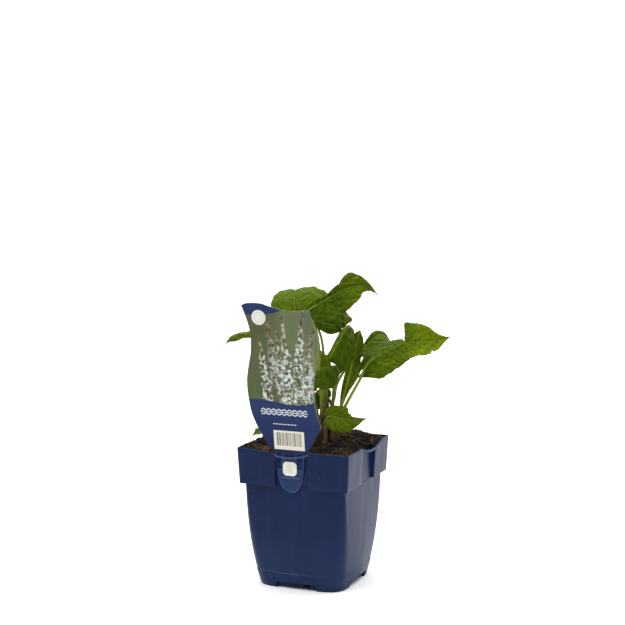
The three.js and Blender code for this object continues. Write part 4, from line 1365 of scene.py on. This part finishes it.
def whole(left, right):
    """Both halves' rows as one, across the midrib that they share."""
    return np.concatenate([left[:, :0:-1], right], axis=1)


def blade_grid(leaf):
    rib = Curve(leaf["rib"])
    rows = int(np.clip(rib.length / 0.95, 30, 110))
    columns = int(np.clip(leaf["half"] * 1.15, 9, 30))
    t = (np.linspace(0, 1, rows + 1)) ** 1.15
    cuts = [cut for side in ("left", "right") for cut in leaf.get(side, {}).get("cuts", [])]
    extra = [at + k * reach for at, reach, _ in cuts for k in (-1, -0.5, 0, 0.5, 1)]
    t = np.unique(np.concatenate([t, extra]))
    t = t[np.concatenate([[True], np.diff(t) > 0.002])]
    across = (np.arange(columns + 1) / columns) ** 1.2
    left, left_out, mm = half_blade(leaf, rib, t, across, -1)
    right, right_out, _ = half_blade(leaf, rib, t, across, 1)
    points, mm, out = whole(left, right), whole(mm, mm), whole(-left_out, right_out)
    edge = whole(left_out[:, -1:] - left_out, right_out[:, -1:] - right_out)
    normal = np.cross(np.gradient(points, axis=1), np.gradient(points, axis=0))
    normal /= np.maximum(np.linalg.norm(normal, axis=2, keepdims=True), 1e-9)
    return rib, t, points, normal, out, mm, edge


def add_blade(shells, leaf):
    rib, t, points, normal, out, mm, edge = blade_grid(leaf)
    off = np.abs(out)
    course = mm - off * VEIN_LEAN - off**2 * VEIN_BEND
    phase = np.abs((course / VEIN_GAP) % 1 - 0.5) * 2
    pillow = (1 - phase**3) * np.clip(off / 5, 0, 1) * np.clip(edge / 4, 0, 1)
    draw = int(leaf["seed"] * 10)
    crumple = 0.32 * ripple(mm, out, 8.0, draw) + 0.14 * ripple(mm, out, 3.6, draw + 1)
    crumple *= leaf.get("crumple", 1.0) * np.clip(off / 3, 0, 1) * np.clip(edge / 2.5, 0, 1)
    puff = leaf.get("puff", 0.55) * pillow + crumple
    rib_half = 1.15 - 0.8 * t[:, None]
    groove = 0.35 * np.exp(-((off / (rib_half + 0.2)) ** 2))
    keel = (0.9 - 0.75 * t[:, None]) * np.exp(-((off / rib_half) ** 2))
    skin = 0.2 - 0.08 * np.clip(1 - edge / 1.5, 0, 1)
    upper = points + normal * (skin + puff - groove)[..., None]
    lower = points - normal * (skin - puff * 0.85 + keel)[..., None]
    rows, columns = off.shape
    faces, split = sheet_faces(rows, columns)
    slots = np.zeros(len(faces), int)
    slots[split : 2 * split] = 1
    share = np.broadcast_to(t[:, None], off.shape)
    blade_mm = np.stack([mm + leaf["seed"] * 7.3, out, share], axis=-1).reshape(-1, 3)
    age = leaf.get("dry", 0.0) * np.clip((share - 0.93) / 0.05, 0, 1)
    for at, side, reach in leaf.get("spots", []):
        away = np.hypot(mm - at * rib.length, out - side)
        age = np.maximum(age, np.clip(1.2 - away / reach, 0, 1))
    # painted light: the outer part of the blade is painted brighter where it is lit
    tone = leaf["tone"] + leaf.get("tip_painted_light", 0.0) * np.clip((share - 0.36) / 0.3, 0, 1)
    # stripe paints a lighter band along the blade; on leaf_drooping it is painted light on the lit left
    # half
    middle, half, extra = leaf.get("stripe", (0.0, 1.0, 0.0))
    tone = tone + extra * np.clip(1.3 - np.abs(out - middle) / half, 0, 1)
    blade_tone = np.stack([tone, edge, age], axis=-1).reshape(-1, 3)
    shells.add(
        np.vstack([upper.reshape(-1, 3), lower.reshape(-1, 3)]),
        faces,
        slots,
        blade_mm=np.vstack([blade_mm, blade_mm]),
        blade_tone=np.vstack([blade_tone, blade_tone]),
    )


def add_stalk(shells, leaf):
    path = Curve(leaf["stem"] + leaf["rib"][:2])
    t = np.linspace(0, 1, max(int(path.length / 1.6), 12) + 1)
    seed, zero = leaf["seed"], np.zeros_like(t)
    wobble = np.stack([np.sin(t * 17 + seed), np.cos(t * 13 + seed * 2), zero], axis=1)
    points = path.at(t) + wobble * 0.15
    radii = STALK_RADIUS - 0.5 * np.minimum(t * 1.4, 1) - 0.35 * smooth(t, 0.85, 1.0)
    radii *= leaf.get("stout", 1.0)
    height = (points[:, 2] - STALK_FOOT) * SERE / leaf.get("sere", SERE)
    tone = np.stack([zero + leaf["tone"], height, zero], axis=1)
    mm = np.stack([t * path.length, zero, t], axis=1)

    def ribbed(angles):
        return 1 + 0.06 * np.cos(angles * 5) - 0.16 * np.exp(-((angles - math.pi) ** 2) / 0.25)

    tube(shells, points, radii, 14, 2, ribbed, blade_mm=mm, blade_tone=tone)


LEAVES = [
    dict(
        name="leaf_back_arched", half=27, lobe=8, tone=0.95, seed=1, sere=40,
        stem=[(2, 9, 124), (1, 9, 145), (-3, 9, 168), (-12, 12, 198), (-20, 16, 224)],
        rib=[
            (-24, 18, 236), (-29, 23, 250), (-33, 29, 261), (-36, 37, 268), (-39, 46, 270),
            (-43, 57, 267), (-47, 68, 259), (-50, 76, 249),
        ],
        up=(0.3, -0.85, 0.4), tip_up=(0, 0.3, 1),
        left=dict(fold=-2, curl=-20, spread=[(0, 1), (0.4, 0.83), (0.6, 0.85), (1, 0.9)], phase=0.2),
        right=dict(
            fold=20, curl=-20, phase=0.6,
            spread=[
                (0, 1), (0.25, 1.2), (0.38, 1.34), (0.44, 1.22), (0.5, 1.02), (0.65, 0.95),
                (0.8, 1.25), (0.9, 1.7), (1, 1.5),
            ],
        ),
    ),
    dict(
        name="leaf_top", half=20, lobe=6, tone=0.28, tip_painted_light=0.8, seed=2, sere=40, crumple=1.9,
        dry=0.8,
        stem=[(3, 4.5, 124), (5, 5, 161), (3, 6, 199), (1, 8, 222), (-3, 8, 240), (-7, 5, 250)],
        rib=[
            (-7, 3, 255), (2, 4, 262), (13, 6, 269), (28, 10, 277), (40, 18, 280), (47, 22, 277.5),
            (54, 25, 271),
        ],
        up=(0.3, -0.85, 0.35),
        left=dict(
            fold=8, curl=-8,
            spread=[
                (0, 0.35), (0.3, 0.16), (0.5, 0.42), (0.6, 0.95), (0.68, 1.25), (0.78, 0.9),
                (0.9, 0.6), (1, 0.5),
            ],
        ),
        right=dict(
            fold=6, curl=12, phase=0.3,
            spread=[(0, 0.8), (0.2, 1.05), (0.5, 1.24), (0.68, 1.3), (0.85, 0.95), (1, 0.8)],
        ),
        spots=[(0.66, -15.5, 5.5)],
    ),
    dict(
        name="leaf_under_top", half=19, lobe=4, tone=0.4, seed=3, sere=40, crumple=1.4,
        stem=[(6, 13.5, 124), (5, 13, 161), (3, 17, 198), (0, 18, 227), (-5, 16, 243)],
        rib=[(-6, 15, 248), (2, 20, 252), (9, 27, 255), (15, 35, 254), (17, 43, 249), (17, 50, 241)],
        up=(-0.1, -0.2, 1),
        left=dict(fold=-10, curl=-20, spread=0.4),
        right=dict(
            fold=-50, curl=-12,
            spread=[(0, 1.2), (0.3, 1.2), (0.65, 1.35), (0.8, 1.7), (0.9, 1.5), (1, 0.8)],
        ),
    ),
    # painted light: tone 1.9 paints this leaf a bright yellow-green where it is lit
    dict(
        name="leaf_young_upright", half=13, lobe=2, tone=1.9, seed=4, sere=60,
        stem=[(7, 9, 124), (7.5, 9.5, 150), (8, 12, 176)],
        rib=[(7, 14, 187), (6, 14, 196), (5, 14, 204), (4, 13.5, 211), (2, 12.5, 216)],
        up=(0.3, -0.9, 0.1),
        left=dict(fold=10, spread=[(0, 0.4), (0.3, 0.8), (0.6, 0.8), (1, 0.6)]),
        right=dict(fold=8, curl=-10, spread=[(0, 0.3), (0.45, 0.45), (0.7, 0.8), (1, 1)]),
    ),
    dict(
        name="leaf_hood", half=22, lobe=4, tone=0.42, seed=5, sere=42, crumple=1.6,
        stem=[(11.5, 9, 124), (12, 10.5, 148), (13, 14, 166), (15, 20, 184), (19, 26, 195)],
        rib=[(22, 27, 200), (18, 18, 203), (13, 6, 204), (7, -6, 201), (0, -15, 196), (-8, -22, 187)],
        up=(0, 0, 1),
        left=dict(
            fold=-50, curl=-25,
            spread=[(0, 0.15), (0.2, 0.4), (0.35, 0.85), (0.6, 1.3), (0.8, 2), (0.93, 4.4), (1, 4.4)],
        ),
        right=dict(fold=-50, curl=-20, spread=[(0, 0.2), (0.5, 0.2), (0.7, 0.38), (1, 0.38)]),
    ),
    # painted light: its low tone paints the blade dark as painted shade, and its stripe paints the lit
    # left half
    dict(
        name="leaf_drooping", half=12, lobe=2, tone=0.1, seed=6, sere=42, stripe=(-2, 3.6, 1.3),
        stem=[(10, 13.5, 124), (11, 17, 155), (12, 25, 194), (20, 29, 223), (26, 25, 238)],
        rib=[(27, 16, 241), (26, 6, 238), (23, -2, 229), (19, -7, 219), (14, -10, 213)],
        up=(0, -0.5, 0.9), tip_up=(0.2, -0.9, 0.45),
        left=dict(
            fold=-8, curl=-15,
            spread=[(0, 0.6), (0.35, 1.3), (0.6, 2.4), (0.8, 5.2), (0.88, 8.4), (1, 9)],
        ),
        right=dict(fold=-25, curl=-20, spread=[(0, 0.6), (0.4, 0.2), (0.8, 0.4), (1, 1)]),
    ),
    dict(
        name="leaf_rolled", half=12, lobe=1, tone=0.55, seed=7, crumple=1.4, puff=0.3,
        stem=[(15, 6.5, 124), (17, 6, 147), (20, 7, 158)],
        rib=[
            (23, 10, 167), (27, 11, 181), (31, 12, 196), (34, 12, 211), (37, 13, 223), (39, 13, 233),
            (42, 11, 239),
        ],
        up=(-0.38, 0.92, 0),
        both=dict(wave=0.4),
        left=dict(
            fold=25, curl=35,
            spread=[(0, 0.25), (0.2, 0.5), (0.45, 1.35), (0.6, 1.3), (0.75, 1.8), (0.88, 3.3), (1, 3)],
        ),
        right=dict(
            fold=25, curl=35,
            spread=[(0, 0.25), (0.2, 0.45), (0.5, 0.6), (0.75, 1.4), (0.88, 3.2), (1, 3)],
        ),
    ),
    dict(
        name="leaf_right_torn", half=22, lobe=10, tone=0.55, tip_painted_light=0.95, seed=8, crumple=1.3,
        stout=1.15, stripe=(12, 7, 0.3),
        stem=[(16, 1.5, 124), (18, 3, 146), (29, 7, 167), (38, 10, 185), (43, 12, 195)],
        rib=[
            (47, 13, 204), (54, 14, 212), (65, 16, 219), (78, 18, 226), (86, 20, 228), (98, 24, 229),
            (111, 31, 230), (122, 37, 233),
        ],
        up=(0.25, -0.85, 0.45),
        left=dict(
            fold=[(0, -45), (0.47, -45), (0.53, 4), (1, 8)],
            spread=[
                (0, 0.7), (0.1, 0.95), (0.3, 0.75), (0.48, 0.45), (0.525, 1.12), (0.62, 1.28),
                (0.76, 1.6), (0.85, 1.6), (1, 1.2),
            ],
            cuts=[(0.5, 0.025, 0.9)],
        ),
        right=dict(
            fold=4, curl=8, lobe=13, phase=0.4,
            spread=[
                (0, 0.2), (0.04, 0.65), (0.09, 0.98), (0.16, 1.06), (0.3, 1), (0.62, 1.04),
                (0.84, 1.7), (1, 1.5),
            ],
            cuts=[(0.78, 0.02, 0.2)],
        ),
    ),
    dict(
        name="leaf_behind_right", half=15, lobe=4, tone=0.7, seed=9,
        stem=[(17.5, 10.5, 124), (18, 14, 152), (23, 23, 175), (27, 30, 195), (31, 33, 207)],
        rib=[(33, 35, 213), (37, 40, 220), (41, 45, 226), (45, 52, 230), (49, 60, 228), (53, 67, 221)],
        up=(-0.3, -0.6, 0.7), tip_up=(0.8, 0.1, 0.5),
        left=dict(
            fold=30, curl=-10,
            spread=[(0, 0.2), (0.35, 0.25), (0.55, 0.4), (0.75, 0.4), (1, 0.3)],
        ),
        right=dict(fold=12, curl=-20, spread=[(0, 0.9), (0.3, 1.1), (0.6, 1.3), (0.8, 1.5), (1, 1.5)]),
    ),
    dict(
        name="leaf_front_low", half=13.5, lobe=5, tone=1.25, seed=10,
        stem=[(12.5, -3.5, 124), (13, -3.5, 142), (13, -4, 151)],
        rib=[(15, -4, 156), (22, -6, 158), (31, -7, 157), (42, -6, 157), (54, -2, 158)],
        up=(0.3, -0.8, 0.5),
        left=dict(
            fold=6, curl=-10,
            spread=[(0, 0.85), (0.5, 0.95), (0.58, 0.75), (0.64, 0.3), (1, 0.3)],
            cuts=[(0.56, 0.05, 0.35)],
        ),
        right=dict(fold=6, curl=-15, spread=[(0, 0.9), (0.25, 1), (0.6, 1.35), (1, 1.2)], phase=0.5),
    ),
    # painted shade: tone 0.15 paints this leaf dark, as it hangs in the shade behind the others
    dict(
        name="leaf_shaded", half=9.5, lobe=2, tone=0.15, seed=11, sere=40,
        stem=[(8, 17.5, 124), (9, 19, 148), (9, 20, 164)],
        rib=[(6, 20.5, 170), (2.5, 21, 171), (-2, 20, 166), (-7, 19, 157)],
        up=(0.2, -1, 0.2),
    ),
    dict(
        name="leaf_left_long", half=9, lobe=3, tone=0.75, seed=12, dry=0.7,
        stem=[(-0.5, 1, 124), (-2, 2, 150), (-10, 3, 184), (-21, 3, 212), (-32, 0, 223)],
        rib=[
            (-38, -3, 228), (-47, -7, 232), (-57, -11, 233), (-68, -16, 233), (-78, -20, 229),
            (-83, -23, 221),
        ],
        up=(0, -0.4, 1), tip_up=(-0.2, -0.6, 0.8),
        left=dict(
            fold=-20, curl=-30,
            spread=[(0, 0.5), (0.6, 0.7), (0.72, 1.6), (0.84, 2.1), (0.93, 1), (1, 0.5)],
        ),
        right=dict(fold=-10, curl=-20, spread=[(0, 0.5), (0.5, 1), (1, 1)]),
    ),
    dict(
        name="leaf_left_low", half=6, lobe=1, tone=0.55, seed=13,
        stem=[(2, -3, 124), (0, -5, 141), (-10, -10, 148), (-24, -16, 149)],
        rib=[(-31, -20, 148), (-38, -24, 146), (-46, -28, 142), (-53, -31, 137)],
        up=(0, -0.4, 1),
        both=dict(spread=[(0, 1), (0.5, 1.2), (0.7, 1.9), (0.8, 1), (1, 0.8)]),
    ),
    dict(
        name="leaf_left_middle", half=11, lobe=3, tone=0.5, seed=14,
        stem=[(5, -3.5, 124), (4, -2, 145), (1, -1, 163), (-4, -4, 181), (-12, -8, 191)],
        rib=[(-18, -9, 196), (-30, -11, 199), (-43, -14, 198), (-54, -17, 194), (-63, -20, 190)],
        up=(0, -0.3, 1),
    ),
    dict(
        name="leaf_back_low", half=17, lobe=4, tone=0.4, seed=15,
        stem=[(-1.5, 12, 124), (-4, 14, 142), (-10, 19, 153)],
        rib=[(-17, 24, 158), (-34, 30, 166), (-52, 36, 169), (-70, 41, 163)],
        up=(0, -0.1, 1),
        both=dict(fold=14, curl=-25),
    ),
    dict(
        name="leaf_back_left", half=19, lobe=5, tone=0.55, seed=16,
        stem=[(2.5, 16, 124), (1, 21, 145), (-3, 29, 166), (-11, 35, 184)],
        rib=[(-17, 38, 196), (-30, 46, 209), (-46, 55, 214), (-62, 62, 208)],
        up=(0.1, -0.2, 1),
        both=dict(fold=16, curl=-28),
    ),
]


def make_leaf(leaf, materials):
    shells = Shells(blade_mm="FLOAT_VECTOR", blade_tone="FLOAT_VECTOR")
    add_blade(shells, leaf)
    add_stalk(shells, leaf)
    name = leaf["name"]
    return put(shells.piece("living_" + name, materials), SLOTS[name], name)


# Crown

# Each old stalk: its line, and its radius at the foot and at the top
OLD_STALKS = [
    ([(8, 2, 124), (7, 1, 143), (4, 0, 158)], 1.7, 1.0),
    ([(8.5, 3.5, 124), (9, 4.2, 136), (12.5, 9, 154), (19, 8, 179)], 1.5, 0.7),
    ([(7.5, 3.5, 124), (8, 4.5, 137), (7, 6, 150)], 1.6, 1.1),
]
TWIG = [(9, 3, 126), (11, 4, 150), (10, 5, 163), (3, 6, 175), (-4, 7, 183)]


def make_crown(material, bracts=12, strands=340):
    """Dry stalks, papery sheaths and loose strands round the foot of the plant."""
    draw = np.random.default_rng(52)
    shells = Shells(tint="FLOAT_COLOR")
    for points, foot, top in OLD_STALKS:
        path = Curve(points)
        t = np.linspace(0, 1, 26)
        line = path.at(t) + draw.normal(0, 0.12, (26, 3))
        radii = foot + (top - foot) * t + draw.normal(0, 0.08, 26)
        tube(shells, line, radii, 10, tint=np.array(TINTS["tan"]) * 0.8)
    for leaf in LEAVES:
        path = Curve(leaf["stem"][:3])
        for _ in range(2):
            height = draw.uniform(10, 24) * leaf.get("sere", SERE) / SERE
            sheath(shells, draw, path, min(height, 0.9 * path.length), 1.9 + draw.uniform(0, 0.5))
    twig = Curve(TWIG).at(np.linspace(0, 1, 20))
    tube(shells, twig, np.linspace(0.9, 0.45, 20), 8, tint=TINTS["tan"])
    for _ in range(bracts):
        angle, reach = draw.uniform(0, 2 * math.pi), draw.uniform(0.5, 4.5)
        way = np.array([math.cos(angle), math.sin(angle)])
        foot = BRACT_HEART + way * reach
        top = foot + way * draw.uniform(0, 3.0)
        path = Curve([(*foot, 127), (*((foot + top) / 2), 142), (*top, 160)])
        sheath(shells, draw, path, draw.uniform(16, 31), draw.uniform(1.6, 2.8))
    for _ in range(strands):
        leaf = LEAVES[draw.integers(len(LEAVES))]
        path = Curve(leaf["stem"][:3])
        end = min(draw.uniform(10, 30) / path.length, 1)
        t = np.linspace(0, end, 9)
        off = draw.normal(0, 1, 2)
        off = off / np.linalg.norm(off) * draw.uniform(1.6, 3.0)
        line = path.at(t)
        flare = 1 + draw.uniform(-0.2, 0.9) * (t / max(end, 0.01)) ** 2
        line[:, :2] += off * flare[:, None] + draw.normal(0, 0.12, (9, 2))
        radii = draw.uniform(0.12, 0.32) * np.linspace(1.2, 0.4, 9)
        tube(shells, line, radii, 4, tint=drawn_tint(draw, STRAND_TINTS, 0.6, 1.1))
    return put(shells.piece("crown_sheaths", [material]), "dry_stalk", "old_stalks")


def sheath(shells, draw, path, height, radius):
    """A thin papery strip wrapped part of the way round a stalk, torn at its top."""
    columns, rows = 9, 8
    start, sweep = draw.uniform(0, 2 * math.pi), draw.uniform(1.6, 3.4)
    angles = start + np.linspace(0, sweep, columns)
    tops = height * (0.65 + 0.35 * draw.random(columns))
    grid = np.zeros((rows, columns, 3))
    for j, angle in enumerate(angles):
        lengths = np.linspace(0, tops[j], rows)
        t = np.clip(lengths / path.length, 0, 1)
        bulge = radius + 0.5 * (lengths / height) ** 2 + 0.15 * math.sin(j * 2.1)
        grid[:, j] = path.at(t)
        grid[:, j, 0] += bulge * math.cos(angle)
        grid[:, j, 1] += bulge * math.sin(angle)
        grid[:, j, 2] += lengths * 0.02
    inner = grid.copy()
    inner[..., 0] -= 0.16 * np.cos(angles)
    inner[..., 1] -= 0.16 * np.sin(angles)
    faces, _ = sheet_faces(rows, columns)
    tint = drawn_tint(draw, SHEATH_TINTS, 0.6, 1.0)
    shells.add(np.vstack([grid.reshape(-1, 3), inner.reshape(-1, 3)]), faces, tint=tint)


# Stage


def make_camera():
    """The photograph's camera, which looks at a point beside and above the pot's axis."""
    azimuth, elevation = math.radians(CAMERA_AZIMUTH), math.radians(CAMERA_ELEVATION)
    level = math.cos(elevation)
    back = Vector((math.sin(azimuth) * level, -math.cos(azimuth) * level, math.sin(elevation)))
    right = Vector((math.cos(azimuth), math.sin(azimuth), 0))
    target = Vector(AXIS) + right * AIM_RIGHT * MM + Vector((0, 0, AIM_HEIGHT * MM))
    data = bpy.data.cameras.new("camera")
    data.lens = CAMERA_LENS
    data.sensor_width = CAMERA_SENSOR
    data.clip_end = 100
    camera = linked("camera", data)
    camera.location = target + back * CAMERA_DISTANCE * MM
    camera.rotation_euler = back.to_track_quat("Z", "Y").to_euler()
    bpy.context.scene.camera = camera


def make_light(name, place, aim, size, power):
    data = bpy.data.lights.new(name, "AREA")
    data.shape = "RECTANGLE"
    data.size, data.size_y = size
    data.energy = power
    light = linked(name, data)
    light.location = place
    light.rotation_euler = (Vector(place) - Vector(aim)).to_track_quat("Z", "Y").to_euler()


def make_sky():
    """White light all round, weak from the camera's side and strong from behind."""
    look = Look("studio", bpy.data.worlds)
    toward = look.split(look.out(look.node("ShaderNodeTexCoord"), "Generated"))[1]
    levels = {"Value": toward, "From Min": -0.75, "From Max": 0.25, "To Min": 0.32, "To Max": 1.2}
    strength = look.out(look.node("ShaderNodeMapRange", levels))
    sky = look.node("ShaderNodeBackground", {"Color": (1.0, 1.0, 1.0), "Strength": strength})
    scene = bpy.context.scene
    scene.world = look.finish(look.out(sky), "ShaderNodeOutputWorld")
    scene.view_settings.view_transform = "Standard"


def make_floor():
    """A pale floor with painted light falloff: painted grey on the camera's side, and glowing a little far
    behind.
    """
    look = Look("pale floor")
    place = look.place()
    toward = look.split(place)[1]
    colour = look.mix(look.noise(place, 0.004, 3), (0.90, 0.90, 0.90), (0.93, 0.93, 0.93))
    shader = look.node(
        "ShaderNodeBsdfPrincipled",
        {
            # painted shade: grey on the camera's side, standing in for light falling off
            "Base Color": look.mix(toward.step(-250, -900), colour, (0.42, 0.42, 0.42)),
            "Roughness": 0.9,
            "Specular IOR Level": 0.1,
            # painted light: the floor glows a little far behind, though it is no lamp
            "Emission Color": (1.0, 1.0, 1.0),
            "Emission Strength": toward.step(250, 1600) * 0.3,
        },
    )
    reach = 14.0
    corners = [(-reach, -reach, 0), (reach, -reach, 0), (reach, reach, 0), (-reach, reach, 0)]
    mesh = bpy.data.meshes.new("floor")
    mesh.from_pydata(corners, [], [[0, 1, 2, 3]])
    mesh.materials.append(look.finish(look.out(shader)))
    floor = linked("floor", mesh)


make_camera()
make_sky()
make_floor()
make_light("key", (-1.0, -1.1, 1.6), (0, 0, 0.15), (0.9, 0.9), 26)
make_light("top", (0.2, 0.5, 2.2), (0, 0, 0), (2.4, 2.4), 60)

soil_material = soil_look()
leaf_materials = [leaf_look("leaf upper", UPPER), leaf_look("leaf under", UNDER), stalk_look()]
debris = debris_look("soil debris")

make_pot(pot_look())
make_label(label_look())
frame["nodes"]["soil"].data.materials.clear()
frame["nodes"]["soil"].data.materials.append(soil_material)
make_crust(soil_material)
make_crumbs(debris)
make_fibres(debris)
make_crown(debris_look("dry sheath", 0.7, 0.3))
for leaf in LEAVES:
    make_leaf(leaf, leaf_materials)
